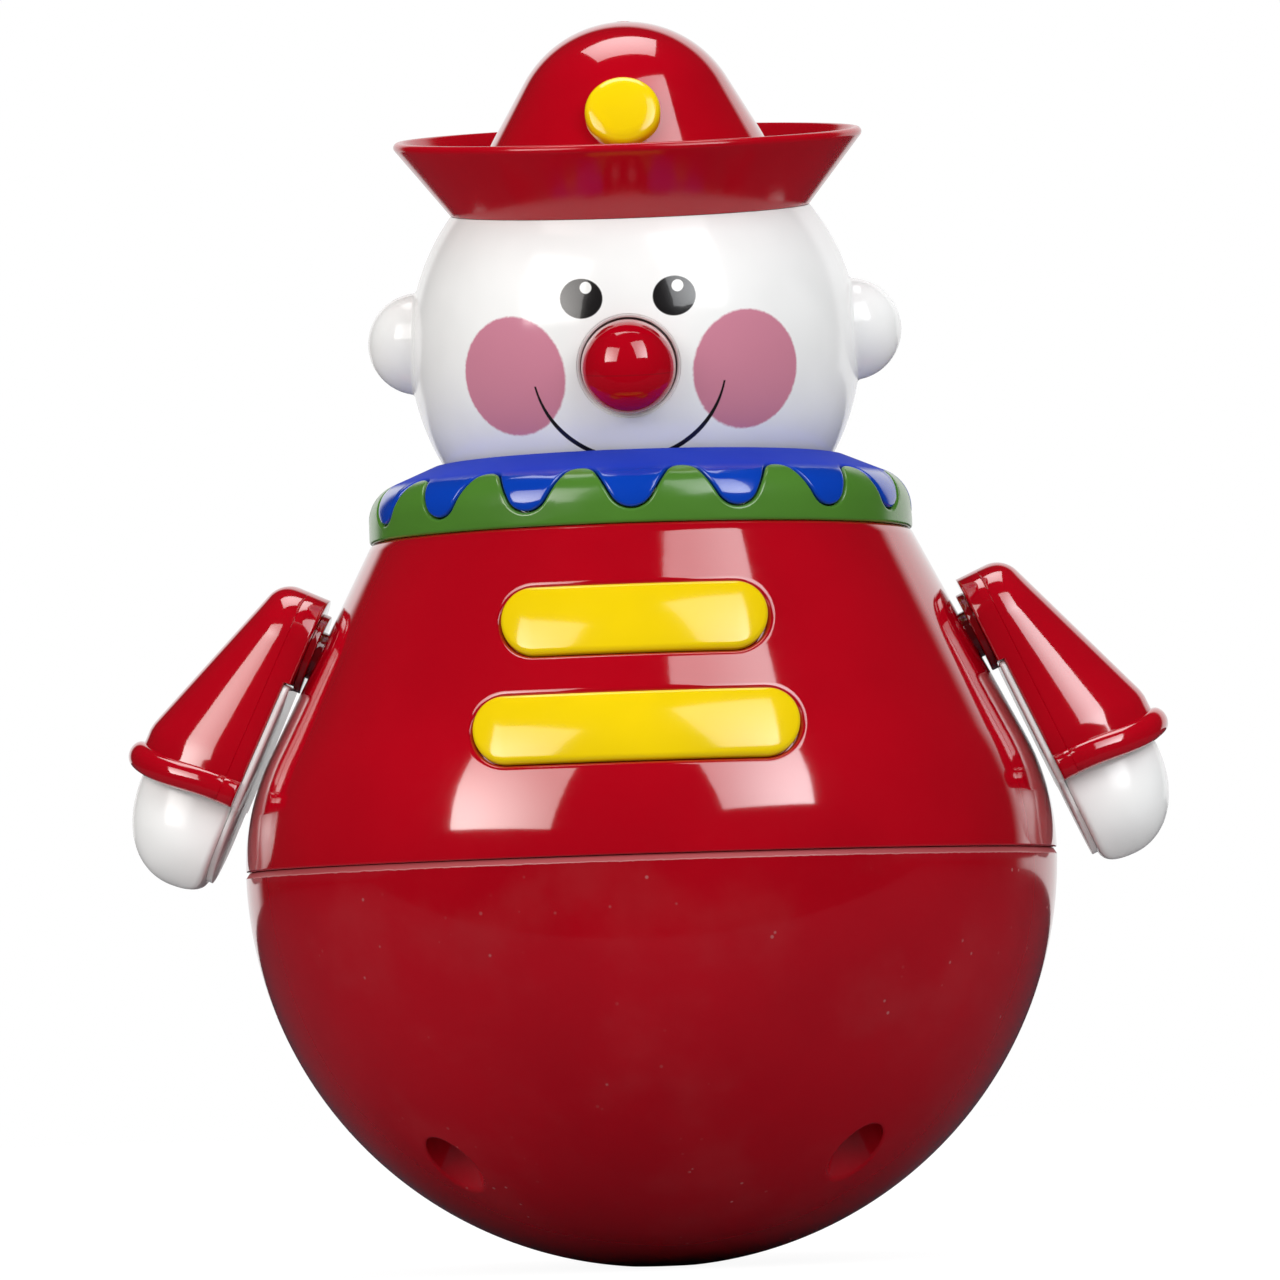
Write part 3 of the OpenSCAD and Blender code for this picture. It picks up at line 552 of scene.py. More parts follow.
# Colours and lines of the other finishes
RED = srgb(175, 0, 21)
WHITE = srgb(248, 248, 247)
# Painted shade: a deeper blue for the collar's upward slope.
SLOPE_SHADED_BLUE = srgb(0, 46, 190)
# Painted light: a lighter red for the base's seam chamfer, as a painted reflection of light from
# above, and a pale colour for a painted highlight along its lower edge.
CHAMFER_SHEEN_RED = (0.46, 0.09, 0.1, 1.0)
SEAM_EDGE_HIGHLIGHT = (0.7, 0.4, 0.4, 1.0)
NOSE_LINE = -1.7


def in_head(nodes, place):
    """Object coordinates in the head's own frame, in millimetres."""
    links = {"Vector": place, "Location": (0, 0, HEAD_Z * MM),
             "Rotation": (math.radians(HEAD_TILT), 0, 0), "Scale": (MM, MM, MM)}
    return nodes.add("ShaderNodeMapping", links, vector_type="TEXTURE")


def face_print(nodes, place, paint, polish, coat):
    """Two black eyes with a white dot, two pink cheeks and a thin smile round the nose."""
    place = in_head(nodes, place)
    x, y, z = nodes.parts(place)
    front = y.smooth(-1.0, -3.0)
    cheek_x = HEAD_R * sind(CHEEK_AZ) * cosd(CHEEK_LAT)
    cheek_y = -HEAD_R * cosd(CHEEK_AZ) * cosd(CHEEK_LAT)
    cheek_z = HEAD_R * sind(CHEEK_LAT)
    cheek_far = length(abs(x) - cheek_x, y - cheek_y, z - cheek_z)
    edge = nodes.noise(place, 1.6, 2.0) - 0.5
    cheek = (cheek_far + edge * 0.35).smooth(CHEEK_R + 0.25, CHEEK_R - 0.25) * front
    paint = nodes.blend(cheek * 0.95, paint, CHEEK_PINK)
    smile_far = length(x, z - SMILE_Z)
    smile_half = z.smooth(SMILE_TOP, SMILE_TOP - 9.0) * 0.2 + 0.14
    smile_low = z.smooth(SMILE_TOP + 0.1, SMILE_TOP - 0.1)
    smile = (abs(smile_far - SMILE_R) - smile_half).smooth(0.09, -0.05) * smile_low
    paint = nodes.blend(smile * front, paint, EYE_BLACK)
    eye_far = length((abs(x - EYE_SHIFT) - EYE_X) / EYE_HALF[0], (z - EYE_Z) / EYE_HALF[1])
    eye = eye_far.smooth(1.03, 0.97) * front
    paint = nodes.blend(eye, paint, EYE_BLACK)
    for gx, gz in GLINTS:
        glint = length(x - gx, z - gz).smooth(GLINT_R + 0.08, GLINT_R - 0.08)
        paint = nodes.blend(glint * front, paint, GLINT_WHITE)
    return paint, polish, coat + eye * 0.8


def seam_chamfer_sheen(nodes, place, paint, polish, coat):
    """The base's matt chamfer under the seam, lightened as a painted reflection of light from
    above, with a ragged lower edge that carries a thin painted highlight.
    """
    height = nodes.parts(place)[2] / MM - (SEAM_Z - CHAMFER_H)
    ragged = height + (nodes.noise(place, 700.0, 3.0) - 0.5) * 0.3
    band = ragged.smooth(-0.1, 0.06)
    line = abs(ragged + 0.03).smooth(0.12, 0.03)
    # Painted light: the chamfer band is lightened as a painted reflection, and the thin line along
    # its lower edge is a painted highlight.
    paint = nodes.blend(band * 0.6, paint, CHAMFER_SHEEN_RED)
    paint = nodes.blend(line * 0.45, paint, SEAM_EDGE_HIGHLIGHT)
    return paint, polish + band * 0.4, coat * (1 - band)


def hat_polish(nodes, place, paint, polish, coat):
    """The brim is left less glossy than the crown."""
    x, y, _ = nodes.parts(in_head(nodes, place))
    brim = length(x, y).smooth(HAT_SEAT_R - 2.3, HAT_SEAT_R - 0.3)
    return paint, polish + brim * 0.06, coat * (1 - brim)


def collar_gloss_and_shade(nodes, place, paint, polish, coat):
    """The lobes are glossier than the slope above them, whose blue is darkened as painted shade."""
    lobes = (nodes.parts(place)[2] / MM).smooth(SHOULDER_Z + 5.6, SHOULDER_Z + 4.4)
    # Painted shade: the slope is darkened towards a deeper blue.
    paint = nodes.blend((1 - lobes) * 0.8, paint, SLOPE_SHADED_BLUE)
    return paint, polish + (1 - lobes) * 0.6, coat * lobes


def nose_polish(nodes, place, paint, polish, coat):
    """A faint parting line a little below the nose's middle, and less gloss under it."""
    height = nodes.parts(in_head(nodes, place))[2]
    line = abs(height - NOSE_LINE).smooth(0.16, 0.04)
    paint = nodes.blend(line * 0.3, paint, tone(RED, 0.3))
    return paint, polish + line * 0.1, coat * height.smooth(-4.0, 0.5)


red_gloss = moulded("red_gloss", RED)
# The base's red is the body's red darkened as painted shade for the weaker light low down; its
# specks and haze are dust, and its seam chamfer carries painted light.
red_dust_and_painted_light = moulded("red_dust_and_painted_light", tone(RED, 0.88), rough=0.1, gloss=0.7, coat=0.5, dust=0.6,
                    pattern=seam_chamfer_sheen)
red_hat = moulded("red_hat", RED, gloss=0.6, coat=1.0, pattern=hat_polish)
red_nose = moulded("red_nose", RED, gloss=0.5, coat=1.0, pattern=nose_polish)
yellow_gloss = moulded("yellow_gloss", srgb(238, 204, 0), rough=0.14, gloss=0.5, coat=0.35)
green_gloss = moulded("green_gloss", srgb(76, 128, 42), rough=0.2, gloss=0.7, coat=0.2)
blue_gloss = moulded("blue_gloss", srgb(3, 62, 178), rough=0.14, gloss=0.4, coat=1.0,
                     pattern=collar_gloss_and_shade)
white_gloss = moulded("white_gloss", WHITE, rough=0.2, gloss=0.5, coat=0.15)
head_gloss = moulded("head_gloss", WHITE, rough=0.15, gloss=0.55, coat=0.15, pattern=face_print)
bright_steel = metal("bright_steel", (0.62, 0.62, 0.60, 1.0), 0.28, (0.42, 0.41, 0.40, 1.0))
cast_iron = metal("cast_iron", (0.23, 0.22, 0.21, 1.0), 0.55, (0.16, 0.13, 0.11, 1.0))


# Body and base
def body_r(z):
    if z > SEAM_Z + BLEND_R * sind(CONE_DEG):
        return DECK_R + (DECK_Z - z) * tand(CONE_DEG)
    return BLEND_X + math.sqrt(BLEND_R ** 2 - (z - SEAM_Z) ** 2)


def body_lean(z):
    """Angle of the body's surface normal above level."""
    return min(CONE_DEG, math.degrees(math.asin(min(1, (z - SEAM_Z) / BLEND_R))))


def on_body(x, z, proud):
    """A point of the chest at x and z, raised along the surface normal."""
    r = body_r(z)
    lean = body_lean(z)
    phi = math.asin(x / r)
    far = r + proud * cosd(lean)
    return far * math.sin(phi), -far * math.cos(phi), z + proud * sind(lean)


def stadium(half_w, half_h, z, near):
    """Points of a bar's outline in the front view, each the nearest to a given point."""
    c = half_w - half_h
    outline = []
    for px, pz in near:
        cx = max(-c, min(c, px))
        d = Vector((px - cx, pz - z))
        if d.length < TINY:
            d = Vector((0, 1))
        d = d.normalized() * half_h
        outline.append((cx + d.x, z + d.y))
    return outline


def bar_outline(bar, count=20):
    """Points all round a bar in the front view."""
    half_w, z = bar[0] / 2, bar[1]
    half_h = BAR_H / 2
    c = half_w - half_h
    half = [(x, half_h) for x in steps(-c, c, 3 * count)]
    half += [(c + half_h * sind(a), half_h * cosd(a)) for a in steps(0, 180, 2 * count)[1:-1]]
    return [(x, z + h) for x, h in half] + [(-x, z - h) for x, h in half]


def recess_rings(edge_points, bar):
    """Rings from a window of the chest down its rounded lip to the floor of a bar's recess."""
    half_w, z = bar[0] / 2 + RECESS_GAP, bar[1]
    half_h = BAR_H / 2 + RECESS_GAP
    feet = [(p.x, p.z) for p in edge_points]
    lip = stadium(half_w + RECESS_ROUND, half_h + RECESS_ROUND, z, feet)

    def row(out, drop):
        return [on_body(x, h, -drop) for x, h in stadium(half_w + out, half_h + out, z, feet)]

    rows = [[on_body(*lerp_pair(a, b, s), 0) for a, b in zip(feet, lip)] for s in stretched(6)]
    rows += [row(out, drop) for drop, out in quarter(RECESS_ROUND, 5)[1:]]
    return rows + [row(-inset, RECESS) for inset in (0, 0.4, half_h - 0.4)]


def spine(bar, ring_points, proud):
    """The middle line of a bar, at the feet of a ring."""
    c = bar[0] / 2 - BAR_H / 2
    return [on_body(max(-c, min(c, p.x)), bar[1], proud) for p in ring_points]


def body_moulding():
    skin = Skin()
    low = SEAM_Z + SEAM_GAP / 2
    lower, upper = [(z - WINDOW_HALF, z + WINDOW_HALF) for _, z in (LOWER_BAR, UPPER_BAR)]
    below = steps(low + SEAM_ROUND, lower[0], 10)[:-1]
    heights = (below + steps(*lower, WINDOW_ROWS) + steps(*upper, WINDOW_ROWS)
               + steps(upper[1], DECK_Z - 0.5, 6)[1:])
    outer = [(BALL_R - WALL, low)] + [
        (BALL_R - SEAM_ROUND + SEAM_ROUND * sind(a), low + SEAM_ROUND - SEAM_ROUND * cosd(a))
        for a in steps(0, 75, 5)]
    first = len(outer) + len(below)
    outer += [(body_r(z), z) for z in heights]
    inner_deck = DECK_Z - DECK_T
    inner = [(body_r(z) - CONE_WALL, z) for z in steps(inner_deck, SEAM_Z + 8, 14)]
    rest = [(DECK_R - 0.15, DECK_Z - 0.15), (DECK_R - 0.5, DECK_Z), (30, DECK_Z),
            (NECK_BORE_R, DECK_Z), (NECK_BORE_R, NECK_TUBE_Z), (NECK_TUBE_R, NECK_TUBE_Z),
            (NECK_TUBE_R, inner_deck), *inner, (BALL_R - WALL, SEAM_Z + LIP_H + 1)]
    rows = [skin.ring(circle(r, z)) for r, z in outer + rest]
    front = ROUND * 3 // 4
    half = ROUND * WINDOW_DEG // 360
    spans = [(row, row + WINDOW_ROWS, front - half, front + half)
             for row in (first, first + WINDOW_ROWS + 1)]
    edges = skin.panel(rows + rows[:1], spans)
    for edge, bar in zip(edges, (LOWER_BAR, UPPER_BAR)):
        last = skin.rings(recess_rings(skin.at(edge), bar), edge)
        skin.rings([spine(bar, skin.at(last), -RECESS)], last)
    return skin


def chest_bar(bar):
    """A pillow shaped bar with round ends, bent round the chest and a little steeper than it."""
    skin = Skin()
    half_w, z = bar[0] / 2, bar[1]
    half_h = BAR_H / 2
    feet = bar_outline(bar)

    def back(inset, proud):
        return [on_body(x, h, proud) for x, h in stadium(half_w - inset, half_h - inset, z, feet)]

    def face(inset):
        rounding = BAR_EDGE - math.sqrt(BAR_EDGE ** 2 - max(BAR_EDGE - inset, 0) ** 2)
        crown = BAR_PROUD - (half_h - inset) ** 2 / (2 * BAR_PILLOW) - rounding
        return [on_body(x, h, crown + (h - z) * tand(BAR_TILT))
                for x, h in stadium(half_w - inset, half_h - inset, z, feet)]

    rows = [back(half_h - 0.3, -BAR_SINK), back(0.4, -BAR_SINK), back(0.0, -BAR_SINK + 0.2)]
    rows += [face(inset) for inset, _ in quarter(BAR_EDGE, 7)]
    rows += [face(lerp(BAR_EDGE, half_h, s)) for s in (0.1, 0.22, 0.36, 0.5, 0.65, 0.8, 0.92)]
    for ring, proud in zip(skin.tube(rows), (-BAR_SINK, BAR_PROUD)):
        skin.rings([spine(bar, skin.at(ring), proud)], ring)
    return skin


def well_rings(edge_points, angle, ball_r, hole_r, rounding, top):
    """Rings from a window of the base to a round hole, and up its wall."""
    centre = Vector((WELL_CIRCLE * cosd(angle), WELL_CIRCLE * sind(angle)))
    arms = [(p.xy - centre).normalized() for p in edge_points]

    def on_ball_shell(q, lift):
        return q.x, q.y, SEAM_Z - math.sqrt(ball_r ** 2 - q.length_squared) + lift

    rows = [[on_ball_shell(p.xy.lerp(centre + arm * (hole_r + rounding), s), 0)
             for p, arm in zip(edge_points, arms)] for s in stretched(5)]
    for lift, out in quarter(rounding, 4)[1:]:
        rows.append([on_ball_shell(centre + arm * (hole_r + out), lift) for arm in arms])
    lip = rows[-1]
    rows += [[(x, y, lerp(z, top, share)) for x, y, z in lip] for share in (0.3, 0.6, 1.0)]
    return rows, (centre.x, centre.y, top)


def base_moulding():
    skin = Skin()
    high = SEAM_Z - SEAM_GAP / 2
    foot_deg = math.degrees(math.asin(FOOT_R / BALL_R))
    rim_deg = 90 - math.degrees(math.asin((CHAMFER_H + 0.1) / BALL_R))
    below = steps(foot_deg, WELL_LOW, 20)[:-1]
    turns = below + steps(WELL_LOW, WELL_HIGH, WELL_ROWS) + steps(WELL_HIGH, rim_deg, 28)[1:]
    ball = [(BALL_R * sind(a), SEAM_Z - BALL_R * cosd(a)) for a in turns]
    edge = soft([(BALL_R, SEAM_Z - CHAMFER_H - 0.2, 0), (BALL_R, SEAM_Z - CHAMFER_H, 0.15),
                 (BALL_R - CHAMFER_IN, high, 0.12), (BALL_R - CHAMFER_IN - 0.6, high, 0)], 4)[1:]
    lip_out = BALL_R - WALL - 0.2
    lip_in = BALL_R - WALL - LIP_T
    lip_top = SEAM_Z + LIP_H
    lip = [(lip_out, high), (lip_out, lip_top), (lip_in, lip_top), (lip_in, SEAM_Z - 2)]
    inner_r = BALL_R - WALL
    above = steps(86, POST_HIGH, 10)[:-1]
    inside = [(inner_r * sind(a), SEAM_Z - inner_r * cosd(a))
              for a in above + steps(POST_HIGH, POST_LOW, WELL_ROWS) + steps(POST_LOW, 4, 10)[1:]]
    foot = [(2.6, 0.0)]
    rows = [skin.ring(circle(r, z)) for r, z in foot + ball + edge + lip + inside]
    skin.cap(rows[0], (0, 0, 0))
    skin.cap(rows[-1], (0, 0, SEAM_Z - inner_r))
    half = ROUND * WELL_DEG // 360
    outer_row = len(foot + below)
    inner_row = len(foot + ball + edge + lip + above)
    spans, ways = [], []
    for angle in WELL_ANGLES:
        j = ROUND * angle // 360
        for row, *way in ((outer_row, BALL_R, WELL_R, WELL_ROUND, WELL_TOP),
                          (inner_row, inner_r, POST_R, POST_ROUND, POST_TOP)):
            spans.append((row, row + WELL_ROWS, j - half, j + half))
            ways.append((angle, *way))
    for ring, way in zip(skin.panel(rows, spans), ways):
        rings, middle = well_rings(skin.at(ring), *way)
        skin.cap(skin.rings(rings, ring), middle)
    return skin


show("base_moulding", base_moulding(), red_dust_and_painted_light, "body", "red_plastic", "base_shell")
show("body_moulding", body_moulding(), red_gloss, "body", "red_plastic", "body_shell")
for bar_name, bar in (("upper_chest_bar", UPPER_BAR), ("lower_chest_bar", LOWER_BAR)):
    pillow = mesh_of(bar_name, chest_bar(bar))
    show(bar_name + "_pillow", pillow, yellow_gloss, "body", "yellow_plastic", bar_name)


# What repeats round the figure's axis
def repeat_tree():
    """Geometry Nodes that repeat a shape round the Z axis, weld it and give it its finish."""
    tree = bpy.data.node_groups.new("repeat_round_axis", "GeometryNodeTree")
    sockets = {}
    for name, kind in (("Shape", "NodeSocketGeometry"), ("Count", "NodeSocketInt"),
                       ("Weld", "NodeSocketFloat"), ("Finish", "NodeSocketMaterial")):
        socket = tree.interface.new_socket(name, in_out="INPUT", socket_type=kind)
        sockets[name] = socket.identifier
    tree.interface.new_socket("Shape", in_out="OUTPUT", socket_type="NodeSocketGeometry")
    nodes = Nodes(tree)
    given = nodes.add("NodeGroupInput").socket.node.outputs
    shape, count, weld, finish = [Value(nodes, given[name]) for name in sockets]
    angle = nodes.add("GeometryNodeInputIndex") / count * math.tau
    spin = nodes.add("ShaderNodeCombineXYZ", {"Z": angle})
    links = {"Points": nodes.add("GeometryNodePoints", {"Count": count}), "Instance": shape,
             "Rotation": nodes.add("FunctionNodeEulerToRotation", {"Euler": spin})}
    copies = nodes.add("GeometryNodeInstanceOnPoints", links)
    real = nodes.add("GeometryNodeRealizeInstances", {"Geometry": copies})
    whole = nodes.add("GeometryNodeMergeByDistance", {"Geometry": real, "Distance": weld})
    done = nodes.add("GeometryNodeSetMaterial", {"Geometry": whole, "Material": finish})
    nodes.add("NodeGroupOutput", {"Shape": done})
    return tree, sockets


WELD = 0.002
REPEAT, REPEAT_IN = repeat_tree()


def repeated(name, skin, count, finish):
    """The mesh of a skin repeated round the axis."""
    seed = put(name + "_one", mesh_of(name + "_one", skin))
    ring = seed.modifiers.new("ring", "NODES")
    ring.node_group = REPEAT
    for key, value in (("Count", count), ("Weld", WELD * MM), ("Finish", finish)):
        ring[REPEAT_IN[key]] = value
    seed.data.update()
    whole = seed.evaluated_get(bpy.context.evaluated_depsgraph_get())
    mesh = bpy.data.meshes.new_from_object(whole)
    mesh.name = name
    seed.modifiers.remove(ring)
    bpy.data.objects.remove(seed)
    return mesh


# Collar, with v as the way up its outside from the middle of the lobes
ROUND_LOW_V = -math.radians(LOBE_TILT) * SHOULDER_R
ROUND_HIGH_V = math.radians(SLOPE_TURN - LOBE_TILT) * SHOULDER_R
DECK_V = ROUND_LOW_V - (SHOULDER_Z - DECK_Z)
MOUTH_V = ROUND_HIGH_V + (
    SHOULDER_X + SHOULDER_R * cosd(SLOPE_TURN) - MOUTH_R) / sind(SLOPE_TURN)


def collar_point(u, v, depth):
    """A point u across from a lobe's middle, v up the collar and depth under its skin."""
    round_v = min(max(v, ROUND_LOW_V), ROUND_HIGH_V)
    a = LOBE_TILT + math.degrees(round_v / SHOULDER_R)
    r = SHOULDER_X + (SHOULDER_R - depth) * cosd(a)
    z = SHOULDER_Z + (SHOULDER_R - depth) * sind(a) + min(v - ROUND_LOW_V, 0)
    beyond = max(v - ROUND_HIGH_V, 0)
    r -= beyond * sind(SLOPE_TURN)
    z += beyond * cosd(SLOPE_TURN)
    phi = u / HALF_PITCH * 180 / LOBES
    return r * sind(phi), -r * cosd(phi), z


def lobe_line(grow):
    """The scalloped line over one lobe, from peak to peak, moved out from the blue by grow."""
    tip, notch = TIP_R + grow, NOTCH_R - grow
    half = [(tip * sind(a), -TIP_DROP - tip * cosd(a)) for a in steps(0, 90 - FLANK_DEG, 10)]
    peak = [(HALF_PITCH - notch * cosd(a), NOTCH_RISE + notch * sind(a))
            for a in steps(FLANK_DEG, 90, 10)]
    flank = [lerp_pair(half[-1], peak[0], s) for s in steps(0, 1, 6)[1:-1]]
    half = half + flank + peak
    return [(-u, v) for u, v in reversed(half[1:])] + half


def sector(rows):
    """The closed band of one lobe, from rows of points."""
    skin = Skin()
    made = [skin.ring(row) for row in rows]
    for a, b in zip(made, made[1:] + made[:1]):
        skin.join(a, b, closed=False)
    return skin


def between(line, v, share, depth=0.0):
    """A row between the scalloped line and a level line at v, with evenly spread points."""
    even = steps(-HALF_PITCH, HALF_PITCH, len(line) - 1)
    return [collar_point(lerp(a[0], u, min(1, 2 * share)), lerp(a[1], v, share), depth)
            for a, u in zip(line, even)]


def blue_ring():
    edge = lobe_line(0)
    rows = [[collar_point(u, v, COLLAR_SKIN) for u, v in edge]]
    for inset, depth in quarter(BLUE_EDGE, 5):
        line = lobe_line(-inset)
        rows.append([collar_point(u, v, depth) for u, v in line])
    top = MOUTH_V - MOUTH_ROUND
    rows += [between(line, top, s) for s in (0.06, 0.14, 0.25, 0.4, 0.55, 0.7, 0.85, 1.0)]
    rows += [between(line, MOUTH_V - short, 1.0, depth)
             for depth, short in quarter(MOUTH_ROUND, 4)[1:]]
    rows.append(between(line, MOUTH_V, 1.0, COLLAR_SKIN))
    rows += [between(edge, MOUTH_V, s, COLLAR_SKIN) for s in (0.75, 0.5, 0.25)]
    return sector(rows)


def green_ring():
    far = lobe_line(LOBE_GAP + GREEN_EDGE)
    rows = [between(far, DECK_V, 1.0, FOOT_SKIN)]
    rows += [between(far, DECK_V + rise, 1.0, depth) for rise, depth in quarter(FOOT_ROUND, 4)]
    rows += [between(far, DECK_V + FOOT_ROUND, s) for s in (0.85, 0.7, 0.55, 0.4, 0.25, 0.12, 0.04)]
    for out, depth in reversed(quarter(GREEN_EDGE, 5)):
        line = lobe_line(LOBE_GAP + out)
        rows.append([collar_point(u, v, depth) for u, v in line])
    floor = COLLAR_SKIN + 0.2
    rows.append([collar_point(u, v, floor) for u, v in line])
    rows += [between(line, MOUTH_V, s, floor) for s in (0.25, 0.5, 0.75, 1.0)]
    rows.append(between(line, MOUTH_V, 1.0, floor + 1.8))
    return sector(rows)


for colour, make, finish in (("green", green_ring, green_gloss), ("blue", blue_ring, blue_gloss)):
    name = colour + "_collar_ring"
    show(name, repeated(name, make(), LOBES, finish), finish, "body", colour + "_plastic",
         colour + "_collar")


# Screws in the base
def base_screw():
    """One screw with a rounded head and a cross in it, seen up its access hole."""
    head_r, head_h, shank_r, shank_h = 3.0, 2.2, 1.5, 9.0
    arm, half_w, deep = 1.7, 0.42, 1.1
    seat = WELL_TOP - 0.02
    skin = Skin(turn(WELL_ANGLES[0], "Z") @ Matrix.Translation((WELL_CIRCLE, 0, seat)))
    corners = []
    for a in (0, 90, 180, 270):
        for x, y in ((arm, -half_w), (arm, half_w), (half_w, half_w)):
            corners.append((x * cosd(a) - y * sind(a), x * sind(a) + y * cosd(a)))
    rays = [math.degrees(math.atan2(y, x)) for x, y in corners]
    path = [(shank_r, shank_h - 1), (shank_r, 0.0), (head_r, 0.0), (head_r, -0.6),
            (head_r * 0.93, -1.3), (head_r * 0.8, -1.8), (head_r * 0.64, -head_h)]
    rows = [[(r * cosd(a), r * sind(a), z) for a in rays] for r, z in path]
    rows.append([(x, y, -head_h) for x, y in corners])
    rows.append([(x * 0.8, y * 0.8, -head_h + deep) for x, y in corners])
    first, last = skin.tube(rows)
    skin.cap(first, (0, 0, shank_h))
    skin.cap(last, (0, 0, -head_h + deep))
    return skin


screws = repeated("base_screw_set", base_screw(), len(WELL_ANGLES), bright_steel)
show("base_screw_set", screws, bright_steel, "body", "steel", "base_screws")


# Head
def head_columns():
    """Angles from the front, with a close pair beside the parting line over each ear."""
    angles = [360 / HEAD_COLUMNS * k for k in range(HEAD_COLUMNS)]
    for side in (90, 270):
        angles += [side - HEAD_LINE_DEG, side + HEAD_LINE_DEG]
    return sorted(angles)


def on_ball(p):
    return p.normalized() * HEAD_R


def ear_path():
    """Distance along the ear's axis and from it, from the head over the fillet to the ear's tip."""
    out = math.hypot(EAR_OUT, EAR_UP)
    head_far, ear_far = HEAD_R + EAR_FILLET, EAR_R + EAR_FILLET
    t = (head_far ** 2 + out ** 2 - ear_far ** 2) / (2 * out)
    rho = math.sqrt(head_far ** 2 - t * t)
    centre = Vector((t, rho))
    start = centre * (HEAD_R / head_far)
    end = Vector((out, 0)) + (centre - Vector((out, 0))) * (EAR_R / ear_far)
    path = [centre + arm for arm in arc(start - centre, end - centre, 5)]
    reach = math.degrees(math.atan2(end.y, end.x - out))
    path += [Vector((out + EAR_R * cosd(a), EAR_R * sind(a))) for a in steps(reach, 4, 16)[1:]]
    return path, out + EAR_R


def dish_path():
    """The same for the nose, from the head over its narrow lip to the middle of the dish."""
    lip_t = math.sqrt(HEAD_R ** 2 - LIP_OUT ** 2)
    rim = on_ball(Vector((lip_t, LIP_OUT + 0.1)))
    dish = soft([(LIP_OUT + 0.02, lip_t - 0.02, 0), (LIP_OUT, lip_t - 0.2, 0.02),
                 (LIP_OUT - 0.1, lip_t - 0.2, 0.02), (LIP_OUT - 0.12, lip_t - 0.04, 0.06),
                 (LIP_IN, lip_t - 0.3, 0.12), (LIP_IN, DISH_OUT - 1, 0.5)], 3)
    low = math.degrees(math.acos(-1.6 / DISH_R))
    dish += [(DISH_R * sind(a) - 0.5, DISH_OUT + DISH_R * cosd(a)) for a in steps(low, 170, 10)]
    return [rim] + [(t, r) for r, t in dish], DISH_OUT - DISH_R


def head_moulding():
    skin = Skin(HEAD)
    columns = head_columns()
    lat_step = (HAT_DEG - HEAD_LOW_DEG) / HEAD_ROWS
    rows = []
    for lat in steps(HEAD_LOW_DEG, HAT_DEG, HEAD_ROWS):
        r, z = HEAD_R * cosd(lat), HEAD_R * sind(lat)
        rows.append(skin.ring([(r * sind(a), -r * cosd(a), z) for a in columns]))
    skin.cap(rows[0], (0, 0, HEAD_R * sind(HEAD_LOW_DEG)))
    skin.cap(rows[-1], (0, 0, HEAD_R * sind(HAT_DEG)))
    ear_lat = math.degrees(math.atan2(EAR_UP, EAR_OUT))

    def window(az, lat):
        j0, j1 = [columns.index((az + k * HEAD_WINDOW) % 360) for k in (-1, 1)]
        i0 = round((lat - HEAD_WINDOW - HEAD_LOW_DEG) / lat_step)
        i1 = i0 + round(2 * HEAD_WINDOW / lat_step)
        return i0, i1, j0, j1 if j1 > j0 else j1 + len(columns)

    def fill(edge, axis, path, tip, count):
        """Rings from a window over the ball to the start of a path, along it and to its tip."""
        points = skin.at(edge)
        arms = [(p - axis * p.dot(axis)).normalized() for p in points]
        far, out = path[0]
        rings = [[on_ball(p.lerp(axis * far + arm * out, s)) for p, arm in zip(points, arms)]
                 for s in stretched(count)[:-1]]
        rings += [[axis * far + arm * out for arm in arms] for far, out in path]
        skin.cap(skin.rings(rings, edge), axis * tip)

    nose_edge, right_edge, left_edge = skin.panel(
        rows, [window(0, NOSE_DEG), window(270, ear_lat), window(90, ear_lat)])
    for side, edge in ((-1, right_edge), (1, left_edge)):
        fill(edge, Vector((side * EAR_OUT, 0, EAR_UP)).normalized(), *ear_path(), 5)
    fill(nose_edge, Vector((0, -cosd(NOSE_DEG), sind(NOSE_DEG))), *dish_path(), 6)
    for p in skin.points:
        if abs(p.y) < 1e-4 and p.length > HEAD_R - 1:
            p *= 1 - HEAD_LINE / p.length
    return skin


show("head_moulding", head_moulding(), head_gloss, "head", "white_plastic",
     "head_front", "head_back")


def nose_moulding():
    skin = Skin(NOSE)
    seat = math.degrees(math.asin(STEM_R / NOSE_R))
    stem = soft([(0.5, STEM_END, 0), (STEM_R, STEM_END, 0.4), (STEM_R, NOSE_OUT - 8, 0)])
    path = [(0, STEM_END)] + stem
    path += [(NOSE_R * sind(a), NOSE_OUT - NOSE_R * cosd(a)) for a in steps(seat, 180, 60)]
    path[-1] = (0, NOSE_OUT + NOSE_R)
    skin.turned(path, FINE_ROUND)
    return skin


show("nose_ball", nose_moulding(), red_nose, "nose", "red_plastic", "nose")


